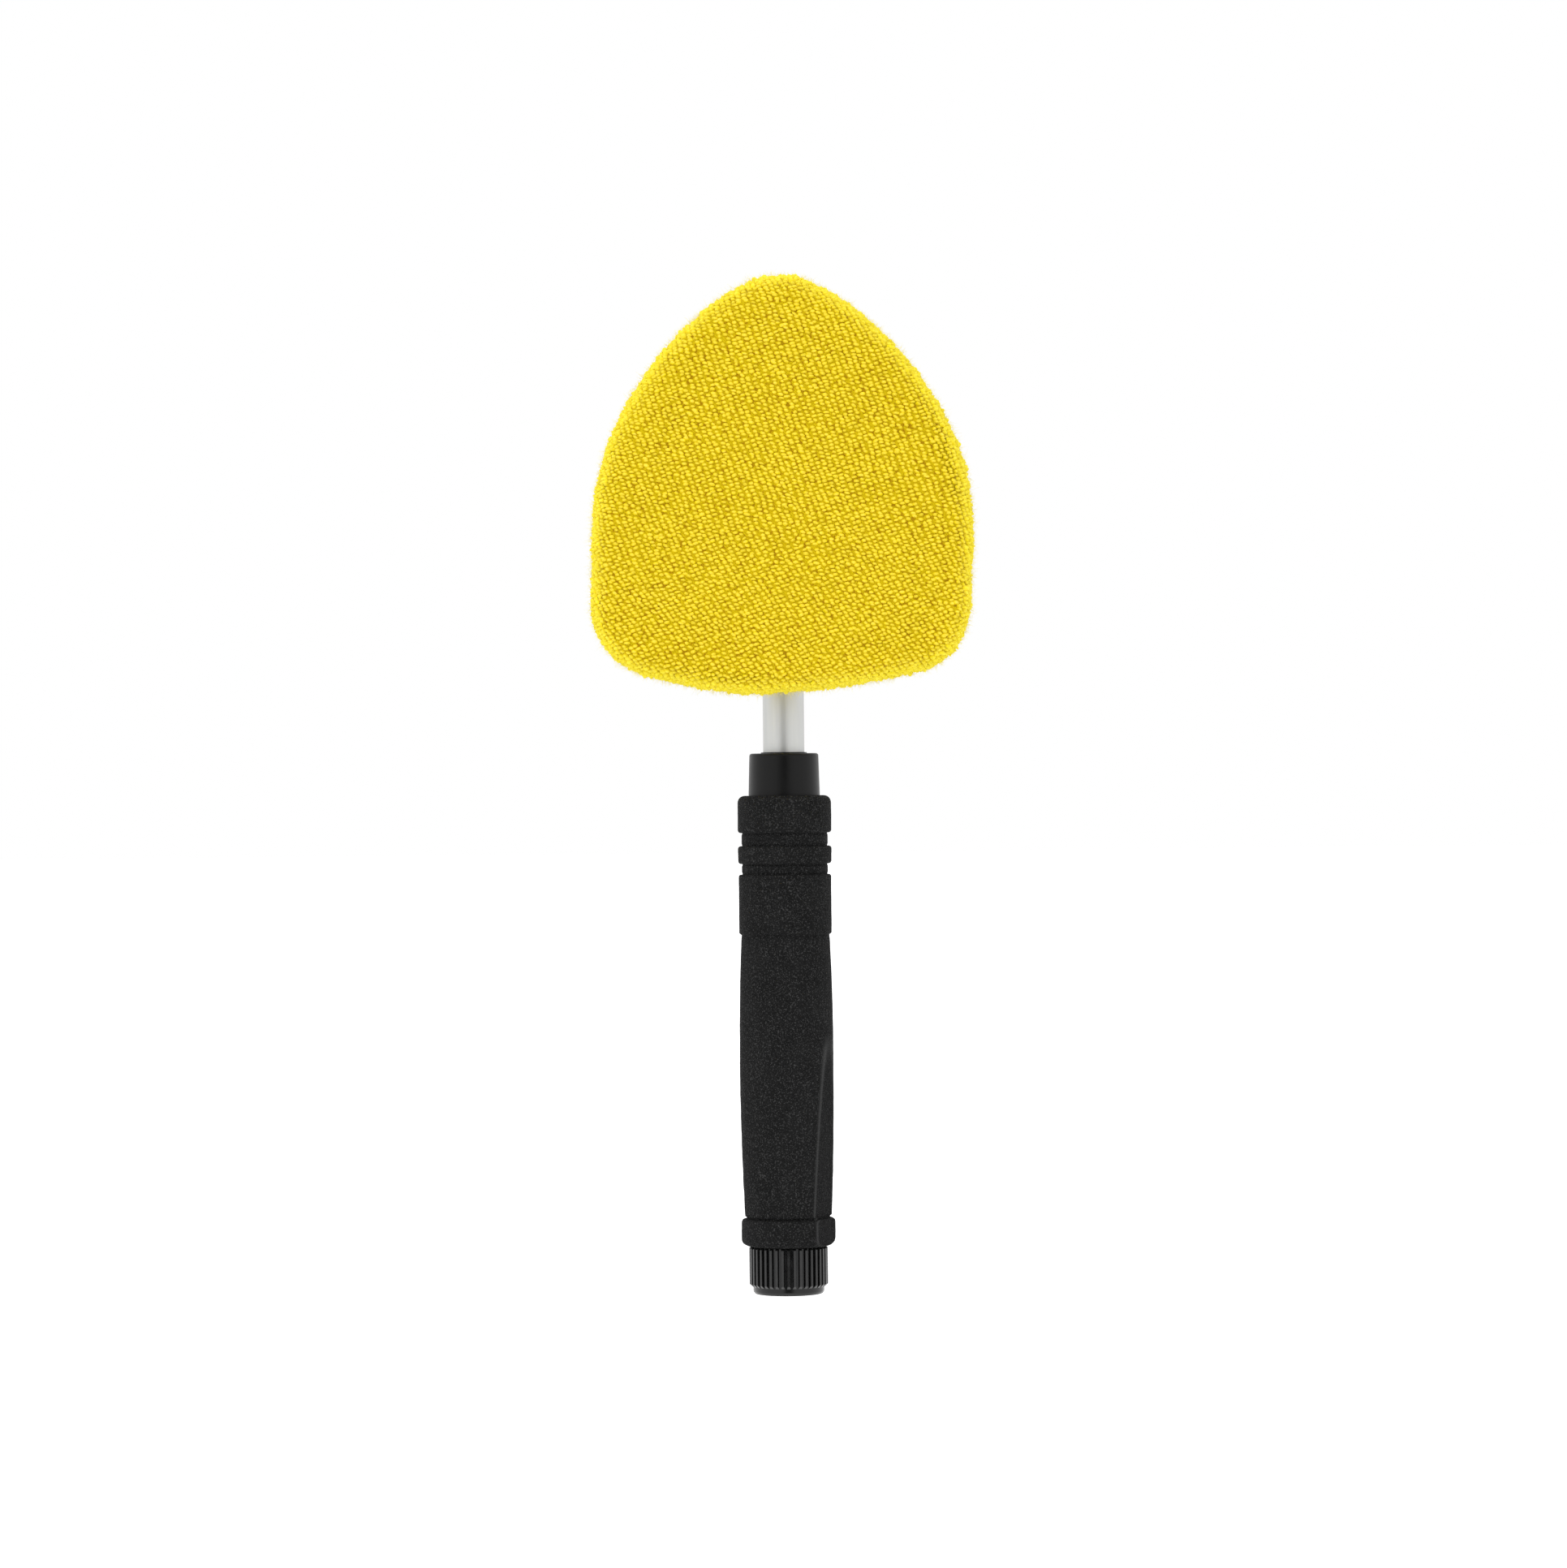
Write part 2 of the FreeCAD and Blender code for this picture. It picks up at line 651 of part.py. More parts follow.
def make_end_cap():
    """Closed cap with a plain lip below and tapered grip ribs round its skirt."""
    body = new_body("end_cap")
    root, bore, lip = radius_of("cap_root_dia"), radius_of("cap_bore"), radius_of("cap_lip_dia")
    add_revolution(body, "cup", [
        ("0", "0"), (lip, "0"), (lip, "cap_lip_height"), (root, "cap_lip_height"),
        (root, "cap_height"), (bore, "cap_height"), (bore, "cap_floor"), ("0", "cap_floor"),
    ])
    round_edges(body, "lip_round", ring_edge("cap_lip_dia", "0"), "cap_lip_round")
    rib = new_sketch(body, "rib", "XY_Plane", "cap_lip_height")
    inside = "(cap_root_dia + cap_bore) / 4"
    crest = radius_of("cap_rib_dia")
    draw_loop(rib, [
        (inside, "-cap_rib_width / 2"), (root, "-cap_rib_width / 2"),
        (crest, "-cap_rib_crest / 2"), (crest, "cap_rib_crest / 2"),
        (root, "cap_rib_width / 2"), (inside, "cap_rib_width / 2"),
    ])
    ribs = add_pad(body, rib, "cap_height - cap_lip_height")
    add_polar(body, ribs, "cap_rib_count")
    beyond = f"{crest} + overrun"
    add_groove(body, "foot_bevel", [
        (f"{crest} - cap_rib_bevel", "cap_lip_height"),
        (beyond, "cap_lip_height"), (beyond, "cap_lip_height + cap_rib_bevel"),
        (crest, "cap_lip_height + cap_rib_bevel"),
    ])
    add_groove(body, "mouth_bevel", [
        (crest, "cap_height - cap_mouth_bevel"), (beyond, "cap_height - cap_mouth_bevel"),
        (beyond, "cap_height"), (f"{crest} - cap_mouth_bevel", "cap_height"),
    ])


# Expanding lock at the pole's lower end


def make_lock_dowel():
    """Slotted dowel that the cone spreads against the outer tube when the pole is twisted."""
    body = new_body("lock_dowel", "dowel_bottom")
    taper = "(cone_foot_dia - cone_top_dia) / (cone_length - cone_foot_height)"
    mouth = f"(cone_foot_dia - (cone_reach - cone_foot_height) * {taper}) / 2 + slide_gap"
    throat = "cone_top_dia / 2 + slide_gap"
    reach = "cone_length - cone_reach"
    outside = radius_of("dowel_dia")
    bore = "stud_dia / 2 + slide_gap"
    add_revolution(body, "barrel", [
        (mouth, "0"), (outside, "0"), (outside, "dowel_length"), (bore, "dowel_length"),
        (bore, f"{reach} + slide_gap"), (throat, f"{reach} + slide_gap"),
    ])
    waist = f"{outside} - dowel_groove_depth"
    beyond = f"{outside} + overrun"
    for place in (1, 2, 3):
        low = f"{place} * dowel_groove_pitch"
        high = f"{low} + dowel_groove_height"
        add_groove(body, f"grip_groove_{place}", [
            (waist, low), (beyond, low), (beyond, high), (waist, high)])
    slot = new_sketch(body, "slot", "XY_Plane")
    draw_rectangle(slot, "stud_dia / 4", "outer_dia", "-dowel_slot / 2", "dowel_slot / 2")
    slots = add_pocket(body, slot, "dowel_slot_length", back=True)
    add_polar(body, slots, "dowel_slot_count")


def make_lock_cone():
    """Cone screwed on the spindle's stud, standing in the dowel's mouth."""
    body = new_body("lock_cone", "cone_bottom")
    bore = "stud_dia / 2 + glue_gap"
    foot = radius_of("cone_foot_dia")
    add_revolution(body, "cone", [
        (bore, "0"), (foot, "0"), (foot, "cone_foot_height"),
        (radius_of("cone_top_dia"), "cone_length"), (bore, "cone_length"),
    ])


def make_lock_spindle():
    """Plug glued in the pole's lower end, with a flange over the dowel and a stud down it."""
    body = new_body("lock_spindle", "cone_bottom")
    stud, flange, plug = radius_of("stud_dia"), "tube_dia / 2 - glue_gap", radius_of("plug_dia")
    low = "spindle_flange_bottom - cone_bottom"
    high = "inner_bottom - cone_bottom"
    top = f"{high} + plug_length"
    add_revolution(body, "turned", [
        ("0", "cone_foot_height / 2"), (stud, "cone_foot_height / 2"), (stud, low), (flange, low),
        (flange, high), (plug, high), (plug, top), ("0", top),
    ])
    round_edges(body, "plug_lead", ring_edge("plug_dia", top), "tube_wall", "Chamfer")


# Pole


def drill_across(body, name, diameter, height):
    """A hole along X right through a body on the axis."""
    sketch = new_sketch(body, name, "YZ_Plane")
    draw_circle(sketch, diameter, "0", height)
    add_pocket(body, sketch, "2 * outer_dia", middle=True)


def make_inner_tube():
    body = new_body("inner_tube", "inner_bottom")
    add_tube(body, "wall", "tube_dia", "tube_bore", "inner_top - inner_bottom")
    rivet_height = "inner_top - rivet_inset - inner_bottom"
    drill_across(body, "rivet_hole", "rivet_dia + 2 * glue_gap", rivet_height)


def make_swivel_knuckle():
    """Knuckle with a plug in the pole, a shoulder on its end and a flat eye between the ears."""
    body = new_body("swivel_knuckle", "pivot_height")
    shoulder, plug = radius_of("tube_dia"), radius_of("plug_dia")
    seat = "face_gap - knuckle_drop"
    top = "shoulder_height - knuckle_drop"
    foot = "-knuckle_drop - knuckle_plug_length"
    add_revolution(body, "stem", [
        ("0", foot), (plug, foot), (plug, seat), (shoulder, seat), (shoulder, top), ("0", top)])
    eye = new_sketch(body, "eye", "YZ_Plane")
    draw_tongue(eye, "eye_radius", "tube_dia / 2", top)
    add_pad(body, eye, "eye_width", middle=True)
    drill_across(body, "pin_hole", "pin_hole_dia", "0")
    drill_across(body, "rivet_hole", "rivet_dia + 2 * glue_gap", "-knuckle_drop - rivet_inset")
    round_edges(body, "eye_bevel", round_edge("eye_radius"), "eye_bevel", "Chamfer")
    round_edges(body, "plug_lead", ring_edge("plug_dia", foot), "tube_wall", "Chamfer")


def draw_tongue(sketch, radius, half_base, base):
    """A round end about the origin, with two tangent sides down to a straight base."""
    round_n, half_n, base_n = value(radius), value(half_base), value(base)
    reach = math.hypot(half_n, base_n)
    touch = math.atan2(base_n, half_n) + math.acos(round_n / reach)
    right = Vector(round_n * math.cos(touch), round_n * math.sin(touch), 0)
    left = Vector(-right.x, right.y, 0)
    low_right = Vector(half_n, base_n, 0)
    low_left = Vector(-half_n, base_n, 0)
    circle = Part.Circle(Vector(0, 0, 0), Vector(0, 0, 1), round_n)
    sketch.addGeometry([
        Part.LineSegment(low_left, low_right), Part.LineSegment(low_right, right),
        Part.ArcOfCircle(circle, touch, math.pi - touch), Part.LineSegment(left, low_left),
    ], False)
    for first, start, second, end, kind in ((0, 2, 1, 1, "Coincident"), (1, 2, 2, 1, "Tangent"),
                                            (2, 2, 3, 1, "Tangent"), (3, 2, 0, 1, "Coincident")):
        sketch.addConstraint(Sketcher.Constraint(kind, first, start, second, end))
    sketch.addConstraint(Sketcher.Constraint("Coincident", 2, 3, -1, 1))
    hold(sketch, "Radius", radius, 2)
    hold(sketch, "DistanceX", half_base, -1, 1, 0, 2)
    hold(sketch, "DistanceX", half_base, 0, 1, -1, 1)
    for end in (1, 2):
        hold(sketch, "DistanceY", f"-({base})", 0, end, -1, 1)


def make_tube_rivet():
    """Rivet along X through the tube and the knuckle's plug, with a domed head each side."""
    body = new_body("tube_rivet", "inner_top - rivet_inset")
    shank = new_sketch(body, "shank", "YZ_Plane")
    draw_circle(shank, "rivet_dia")
    add_pad(body, shank, "tube_dia + 2 * glue_gap", middle=True)
    head = new_sketch(body, "head", "YZ_Plane", "tube_dia / 2 + glue_gap")
    draw_circle(head, "rivet_head_dia")
    heads = add_pad(body, head, "rivet_head_height")
    add_mirrored(body, [heads], "other_head")
    outer = value("tube_dia / 2 + glue_gap + rivet_head_height")
    round_edges(body, "domes", lambda edge: near(abs(edge.CenterOfMass.x), outer),
                "rivet_head_round")


# Head


def draw_head_outline(sketch, inset):
    radii = ("tip_radius", "corner_radius", "foot_radius")
    draw_pear(sketch, "head_half_width", "tip_rise", "-foot_drop", "side_rise - foot_drop",
              radii, inset)


def draw_mouth_outline(sketch, inset="0"):
    radii = ("mouth_tip_radius", "mouth_corner_radius", "mouth_foot_radius")
    draw_pear(sketch, "mouth_half_width", "mouth_tip", "mouth_foot", "mouth_side_centre",
              radii, inset)


def make_head_plate():
    """Stiff plate of the head: a hem rim, a hub with four ribs and two clevis ears behind."""
    body = new_body("head_plate", "pivot_height")
    outline = new_sketch(body, "outline", "XZ_Plane", "stand_off")
    draw_head_outline(outline, "plate_edge_inset")
    add_pad(body, outline, "plate_thick")
    round_edges(body, "edge_round", edge_in_depth("stand_off"), "plate_round")
    rim = new_sketch(body, "rim", "XZ_Plane", "stand_off")
    draw_mouth_outline(rim, "rim_inset")
    draw_mouth_outline(rim, "rim_inset + rib_width")
    add_pad(body, rim, "rib_height", back=True)
    hub = new_sketch(body, "hub", "XZ_Plane", "stand_off")
    draw_rectangle(hub, "-hub_half_width", "hub_half_width", "-hub_half_height", "hub_half_height")
    add_pad(body, hub, "rib_height", back=True)
    round_edges(body, "hub_round", is_hub_corner, "hub_round")
    add_hub_ribs(body)
    ear = new_sketch(body, "ear", "YZ_Plane", "ear_inner")
    draw_ear(ear)
    ears = add_pad(body, ear, "ear_thick")
    add_mirrored(body, [ears], "other_ear")
    round_edges(body, "ear_roots", is_ear_root, "ear_fillet")
    drill_across(body, "pin_hole", "pin_hole_dia", "0")


def is_hub_corner(edge):
    box = edge.BoundBox
    upright = near(box.YLength, value("rib_height"))
    at_side = near(abs(edge.CenterOfMass.x), value("hub_half_width"))
    return upright and at_side and near(abs(edge.CenterOfMass.z), value("hub_half_height"))


def is_ear_root(edge):
    box = edge.BoundBox
    level = near(box.YMin, value("rib_height - stand_off")) and near(box.YLength, 0)
    side = abs(edge.CenterOfMass.x)
    return level and (near(side, value("ear_inner")) or near(side, value("ear_outer")))


def add_hub_ribs(body):
    """Four slanting ribs from the hub's corners out to the middle of the rim."""
    shoulder = ("mouth_half_width - mouth_side_radius"
                " + sqrt((mouth_side_radius - rim_middle) ^ 2 - mouth_side_fall ^ 2)")
    low = "mouth_corner_centre - mouth_corner_radius + rim_middle"
    ribs = []
    for name, start_up, end_across, end_up in (
            ("rib_up", "hub_half_height - rib_width", shoulder, "mouth_tip_centre"),
            ("rib_down", "rib_width - hub_half_height", "mouth_corner_across", low)):
        sketch = new_sketch(body, name, "XZ_Plane", "stand_off")
        start = "hub_half_width - rib_width"
        draw_loop(sketch, [
            (start, f"{start_up} - rib_width / 2"), (end_across, f"{end_up} - rib_width / 2"),
            (end_across, f"{end_up} + rib_width / 2"), (start, f"{start_up} + rib_width / 2"),
        ])
        ribs.append(add_pad(body, sketch, "rib_height", back=True))
    add_mirrored(body, ribs, "other_ribs")


def draw_ear(sketch):
    """Round ear about the pin, tangent down to a wide base inside the plate."""
    round_n, base_n, half_n = value("ear_radius"), value("stand_off"), value("ear_base_half")
    base = Vector(-base_n, half_n, 0)
    touch = math.atan2(base.y, base.x) - math.acos(round_n / base.Length)
    high = Vector(round_n * math.cos(touch), round_n * math.sin(touch), 0)
    low = Vector(high.x, -high.y, 0)
    low_base = Vector(base.x, -base.y, 0)
    circle = Part.Circle(Vector(0, 0, 0), Vector(0, 0, 1), round_n)
    sketch.addGeometry([
        Part.LineSegment(base, low_base), Part.LineSegment(low_base, low),
        Part.ArcOfCircle(circle, -touch, touch), Part.LineSegment(high, base),
    ], False)
    for first, start, second, end, kind in ((0, 2, 1, 1, "Coincident"), (1, 2, 2, 1, "Tangent"),
                                            (2, 2, 3, 1, "Tangent"), (3, 2, 0, 1, "Coincident")):
        sketch.addConstraint(Sketcher.Constraint(kind, first, start, second, end))
    sketch.addConstraint(Sketcher.Constraint("Coincident", 2, 3, -1, 1))
    hold(sketch, "Radius", "ear_radius", 2)
    for end in (1, 2):
        hold(sketch, "DistanceX", "stand_off", 0, end, -1, 1)
    hold(sketch, "DistanceY", "ear_base_half", -1, 1, 0, 1)
    hold(sketch, "DistanceY", "ear_base_half", 0, 2, -1, 1)


def make_foam_pad():
    body = new_body("foam_pad", "pivot_height")
    outline = new_sketch(body, "outline", "XZ_Plane", "plate_front")
    draw_head_outline(outline, "foam_inset")
    add_pad(body, outline, "foam_thick")
    round_edges(body, "front_edge", edge_in_depth("foam_front"), "front_round - foam_inset")


def make_bonnet_cover():
    """Terry cover: over the foam's face, round the edge and turned in behind the plate."""
    body = new_body("bonnet_cover", "pivot_height")
    outline = new_sketch(body, "outline", "XZ_Plane", "cover_back")
    draw_head_outline(outline, "0")
    add_pad(body, outline, "cover_front - cover_back")
    round_edges(body, "front_edge", edge_in_depth("cover_front"), "front_round")
    round_edges(body, "back_edge", edge_in_depth("cover_back"), "back_round")
    cavity = new_sketch(body, "cavity", "XZ_Plane", "cavity_front")
    draw_head_outline(cavity, "cloth_thick")
    add_pocket(body, cavity, "cavity_front - cavity_back")
    round_edges(body, "front_cavity_edge", edge_in_depth("cavity_front"),
                "front_round - cloth_thick")
    round_edges(body, "back_cavity_edge", edge_in_depth("cavity_back"),
                "back_round - cloth_thick")
    mouth = new_sketch(body, "mouth", "XZ_Plane", "cavity_back")
    draw_mouth_outline(mouth, "-hem_offset")
    add_pocket(body, mouth, "2 * cloth_thick")


def sweep_round_mouth(body, name, diameter, kind="AdditivePipe"):
    """A round section swept along the mouth's outline, as a ring or as the bore in one."""
    path = new_sketch(body, name + "_path", "XZ_Plane", "hem_depth")
    draw_mouth_outline(path)
    section = new_sketch(body, name + "_section", "XY_Plane", "mouth_side_centre")
    draw_circle(section, diameter, "mouth_half_width", "-hem_depth")
    document.recompute()
    sweep = body.newObject("PartDesign::" + kind, name)
    sweep.Profile = section
    sweep.Spine = (path, [])
    document.recompute()


def make_hem_binding():
    """Hem of the cover, rolled round the elastic."""
    body = new_body("hem_binding", "pivot_height")
    sweep_round_mouth(body, "roll", "hem_dia")
    full = body.Shape.Volume
    sweep_round_mouth(body, "bore", "hem_bore", "SubtractivePipe")
    if body.Shape.Volume >= full:
        raise ValueError("the hem has no bore")


def make_hem_elastic():
    body = new_body("hem_elastic", "pivot_height")
    sweep_round_mouth(body, "cord", "elastic_dia")


# Swivel bolt, nut and washers


def make_pivot_bolt():
    """Bolt along X through both ears and the eye, with a slotted pan head."""
    body = new_body("pivot_bolt", "pivot_height")
    shank = new_sketch(body, "shank", "YZ_Plane", "-ear_outer")
    draw_circle(shank, "bolt_dia")
    add_pad(body, shank, "2 * ear_outer + nut_height + bolt_end")
    head = new_sketch(body, "head", "YZ_Plane", "-ear_outer")
    draw_circle(head, "bolt_head_dia")
    add_pad(body, head, "bolt_head_height", back=True)
    outer = value("ear_outer + bolt_head_height")
    round_edges(body, "head_round", lambda edge: near(edge.CenterOfMass.x, -outer),
                "bolt_head_round")
    for name, half_across, half_up in (("slot", "bolt_slot_width / 2", "bolt_slot_length / 2"),
                                       ("cross", "bolt_slot_length / 2", "bolt_slot_width / 2")):
        recess = new_sketch(body, name, "YZ_Plane", "-ear_outer - bolt_head_height")
        draw_rectangle(recess, f"-{half_across}", half_across, f"-{half_up}", half_up)
        add_pocket(body, recess, "bolt_slot_depth", back=True)


def make_pivot_nut():
    body = new_body("pivot_nut", "pivot_height")
    sketch = new_sketch(body, "hexagon", "YZ_Plane", "ear_outer")
    corner, half = "nut_flats / sqrt(3)", "nut_flats / 2"
    side = f"{corner} / 2"
    draw_loop(sketch, [
        (corner, "0"), (side, half), (f"-{side}", half),
        (f"-{corner}", "0"), (f"-{side}", f"-{half}"), (side, f"-{half}"),
    ])
    draw_circle(sketch, "bolt_dia + 2 * glue_gap")
    add_pad(body, sketch, "nut_height")


def make_pivot_washers():
    """The two friction washers between the eye and the ears."""
    body = new_body("pivot_washers", "pivot_height")
    sketch = new_sketch(body, "ring", "YZ_Plane", "eye_width / 2 + face_gap")
    draw_circle(sketch, "washer_dia")
    draw_circle(sketch, "pin_hole_dia")
    washer = add_pad(body, sketch, "washer_thick")
    add_mirrored(body, [washer], "other_washer")


def check_document():
    """Stop if any object failed or any sub-part has no sound shape."""
    for item in document.Objects:
        if {"Invalid", "Error"} & set(item.State):
            raise ValueError(f"{item.Label} failed: {item.State}")
    for item in document.Objects:
        if item.TypeId == "Sketcher::SketchObject" and item.solve() != 0:
            raise ValueError(f"{item.Label} isn't solved")
    for part in sub_parts():
        if part.Shape.isNull() or not part.Shape.isValid() or not part.Shape.Solids:
            raise ValueError(f"{part.Label} has no sound shape")


def sub_parts():
    return [item for item in document.Objects if item.TypeId == "PartDesign::Body"]


def write_parts():
    os.makedirs("parts", exist_ok=True)
    for part in sub_parts():
        part.Shape.exportStep(f"parts/{part.Label}.step")
        print(f"{part.Label}: {len(part.Shape.Solids)} solid, {part.Shape.Volume:.1f} mm3")


fill_sheet()
make_outer_tube()
make_cap_ferrule()
make_guide_collar()
make_guide_bush()
make_foam_grip()
make_cap_gasket()
make_end_cap()
make_lock_dowel()
make_lock_cone()
make_lock_spindle()
make_inner_tube()
make_swivel_knuckle()
make_tube_rivet()
make_head_plate()
make_foam_pad()
make_bonnet_cover()
make_hem_binding()
make_hem_elastic()
make_pivot_bolt()
make_pivot_nut()
make_pivot_washers()
document.recompute()
check_document()
write_parts()
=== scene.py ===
import json
from math import atan2, cos, hypot, pi, radians, sin, sqrt, tan

import bpy
import numpy as np
from mathutils import Matrix, Vector
from mathutils.kdtree import KDTree


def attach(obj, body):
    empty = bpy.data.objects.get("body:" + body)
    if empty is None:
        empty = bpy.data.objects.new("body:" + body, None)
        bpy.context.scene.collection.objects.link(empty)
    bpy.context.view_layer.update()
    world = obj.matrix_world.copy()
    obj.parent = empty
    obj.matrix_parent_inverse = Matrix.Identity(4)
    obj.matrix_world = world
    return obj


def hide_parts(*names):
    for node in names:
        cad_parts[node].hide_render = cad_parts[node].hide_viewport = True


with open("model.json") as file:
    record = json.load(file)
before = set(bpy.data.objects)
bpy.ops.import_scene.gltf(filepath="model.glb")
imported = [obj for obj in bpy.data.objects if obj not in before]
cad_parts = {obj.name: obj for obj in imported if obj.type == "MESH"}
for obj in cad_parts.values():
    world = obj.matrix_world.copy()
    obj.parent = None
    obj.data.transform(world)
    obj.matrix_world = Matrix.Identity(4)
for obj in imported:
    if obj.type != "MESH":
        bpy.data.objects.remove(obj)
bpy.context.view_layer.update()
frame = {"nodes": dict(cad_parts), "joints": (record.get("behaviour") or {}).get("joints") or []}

# Telescopic windscreen wand with a terry pad. Lengths are in millimetres up to the mesh
# makers, which turn them into metres. The pad's sizes are taken from the swivel pin, and
# depths from the pole's axis towards the cleaning face, which looks along -Y.

MM = 0.001
joints = {joint["name"]: joint for joint in frame["joints"]}
PIN = joints["head_tilt"]["pos_m"][2] / MM
scene = bpy.context.scene
rng = np.random.default_rng(41)


def put(name, data):
    """A new object in the scene."""
    made = bpy.data.objects.new(name, data)
    scene.collection.objects.link(made)
    return made


# Camera


CAMERA_DISTANCE = 1.70
CAMERA_ASIDE, CAMERA_HEIGHT = -0.0002, 0.1727
CAMERA_ROLL = 0.55
FRAME_WIDTH = 0.5318

camera_data = bpy.data.cameras.new("camera")
camera = put("camera", camera_data)
camera_data.sensor_width = 36.0
camera_data.lens = camera_data.sensor_width * CAMERA_DISTANCE / FRAME_WIDTH
camera_data.clip_start = 0.05
camera_data.clip_end = 100.0
camera.location = (CAMERA_ASIDE, -CAMERA_DISTANCE, CAMERA_HEIGHT)
camera.rotation_euler = (radians(90), radians(CAMERA_ROLL), 0.0)
scene.camera = camera


# Node and mesh helpers


def new_material(name, **sockets):
    """A material and its principled shader, with plain values set on the shader."""
    look = bpy.data.materials.new(name)
    look.use_nodes = True
    shader = look.node_tree.nodes["Principled BSDF"]
    for socket, number in sockets.items():
        shader.inputs[socket.replace("_", " ")].default_value = number
    return look, shader


def add(look, kind, **settings):
    """A node of a material or the world; settings name its properties, or inputs after in_."""
    made = look.node_tree.nodes.new("ShaderNode" + kind)
    for name, number in settings.items():
        if name.startswith("in_"):
            join(look, number, made.inputs[name[3:].replace("_", " ")])
        else:
            setattr(made, name, number)
    return made


def join(look, source, target):
    """An input fed from a socket, or set to a plain value or colour."""
    if isinstance(source, bpy.types.NodeSocket):
        look.node_tree.links.new(source, target)
    elif target.type == "RGBA":
        target.default_value = (*source, 1.0)
    else:
        target.default_value = source


def place(look, scale=(1.0, 1.0, 1.0)):
    """Object coordinates, stretched by scale."""
    coordinates = add(look, "TexCoord")
    return add(look, "Mapping", in_Vector=coordinates.outputs["Object"],
               in_Scale=scale).outputs["Vector"]


def noise(look, where, scale, detail=3.0, roughness=0.55):
    """Fractal noise at the coordinates where; scale is in waves per metre."""
    return add(look, "TexNoise", in_Vector=where, in_Scale=scale, in_Detail=detail,
               in_Roughness=roughness).outputs["Fac"]


def ramp(look, source, stops):
    """A colour ramp over (place, colour) stops."""
    made = add(look, "ValToRGB", in_Fac=source)
    elements = made.color_ramp.elements
    while len(elements) < len(stops):
        elements.new(0.5)
    for element, (spot, colour) in zip(elements, stops):
        element.position = spot
        element.color = (*colour, 1.0)
    return made.outputs["Color"]


def grey(level):
    return (level, level, level)


def times(colour, share):
    return tuple(part * share for part in colour)


def mix(look, share, first, second, blend="MIX"):
    """Two colours mixed; share, first and second are sockets or plain values."""
    made = add(look, "Mix", data_type="RGBA", blend_type=blend)
    for slot, given in ((0, share), (6, first), (7, second)):
        join(look, given, made.inputs[slot])
    return made.outputs[2]


def multiply(look, first, second):
    """Two colours multiplied."""
    return mix(look, 1.0, first, second, "MULTIPLY")


def arithmetic(look, operation, first, second=0.0):
    """One sum of two sockets or plain values."""
    made = add(look, "Math", operation=operation)
    join(look, first, made.inputs[0])
    join(look, second, made.inputs[1])
    return made.outputs[0]


def span(look, source, start, end):
    """How far a value is on its way from start to end, from 0 to 1."""
    return add(look, "MapRange", in_Value=source, in_From_Min=start,
               in_From_Max=end).outputs["Result"]


def split(look, kind, source):
    """The three parts of a colour or a vector."""
    made = add(look, "Separate" + kind)
    join(look, source, made.inputs[0])
    return made.outputs


def painted(look, name):
    """The colours that paint keeps on a mesh."""
    return add(look, "Attribute", attribute_name=name).outputs["Color"]


def seen_directly(look):
    """One for a ray from the camera, from a mirror or through glass, zero for other light."""
    rays = add(look, "LightPath").outputs
    seen = arithmetic(look, "MAXIMUM", rays["Is Camera Ray"], rays["Is Glossy Ray"])
    return arithmetic(look, "MAXIMUM", seen, rays["Is Transmission Ray"])


def bump(look, shader, height, distance, strength=1.0):
    """Relief of a given height in metres, from a socket."""
    made = add(look, "Bump", in_Height=height, in_Distance=distance, in_Strength=strength)
    join(look, made.outputs["Normal"], shader.inputs["Normal"])


def mesh_object(name, points, faces, look, smooth=True):
    """A mesh from points in millimetres and faces, standing in the part's frame."""
    mesh = bpy.data.meshes.new(name)
    mesh.from_pydata((np.asarray(points) * MM).tolist(), [], faces)
    mesh.validate()
    mesh.update()
    mesh.materials.append(look)
    if smooth:
        mesh.shade_smooth()
    return put(name, mesh)


def grid_faces(rows, columns, first=0, flip=False, close=False):
    """Quads over a grid of rings; close joins the last ring to the first."""
    faces = []
    for row in range(rows if close else rows - 1):
        here, above = first + row * columns, first + (row + 1) % rows * columns
        for column in range(columns):
            beside = (column + 1) % columns
            corners = (here + column, here + beside, above + beside, above + column)
            faces.append(corners[::-1] if flip else corners)
    return faces


def closed_faces(rows, columns, first=0, flip=False):
    """Quads over a grid of rings, with one face over each end."""
    last = first + (rows - 1) * columns
    ends = [range(first, first + columns), range(last + columns - 1, last - 1, -1)]
    faces = grid_faces(rows, columns, first=first, flip=flip)
    return faces + [tuple(end if flip else end[::-1]) for end in ends]


def repeated(pattern, corners, count):
    """The faces of one small form, repeated for count forms of so many corners."""
    return [tuple(number * corners + corner for corner in face)
            for number in range(count) for face in pattern]


def paint(made, name, colours):
    """A colour for each corner of a mesh, kept under a name that its material reads."""
    layer = made.data.color_attributes.new(name, "FLOAT_COLOR", "POINT")
    layer.data.foreach_set("color", colours.ravel())


def closed_shell(name, rows, look):
    """A closed mesh over rings of points."""
    faces = closed_faces(len(rows), len(rows[0]), flip=True)
    return mesh_object(name, np.concatenate(rows), faces, look)


def turns(count):
    """Evenly spaced angles round a circle."""
    return np.arange(count) * 2 * pi / count


def unit(vectors):
    return vectors / np.linalg.norm(vectors, axis=1, keepdims=True)


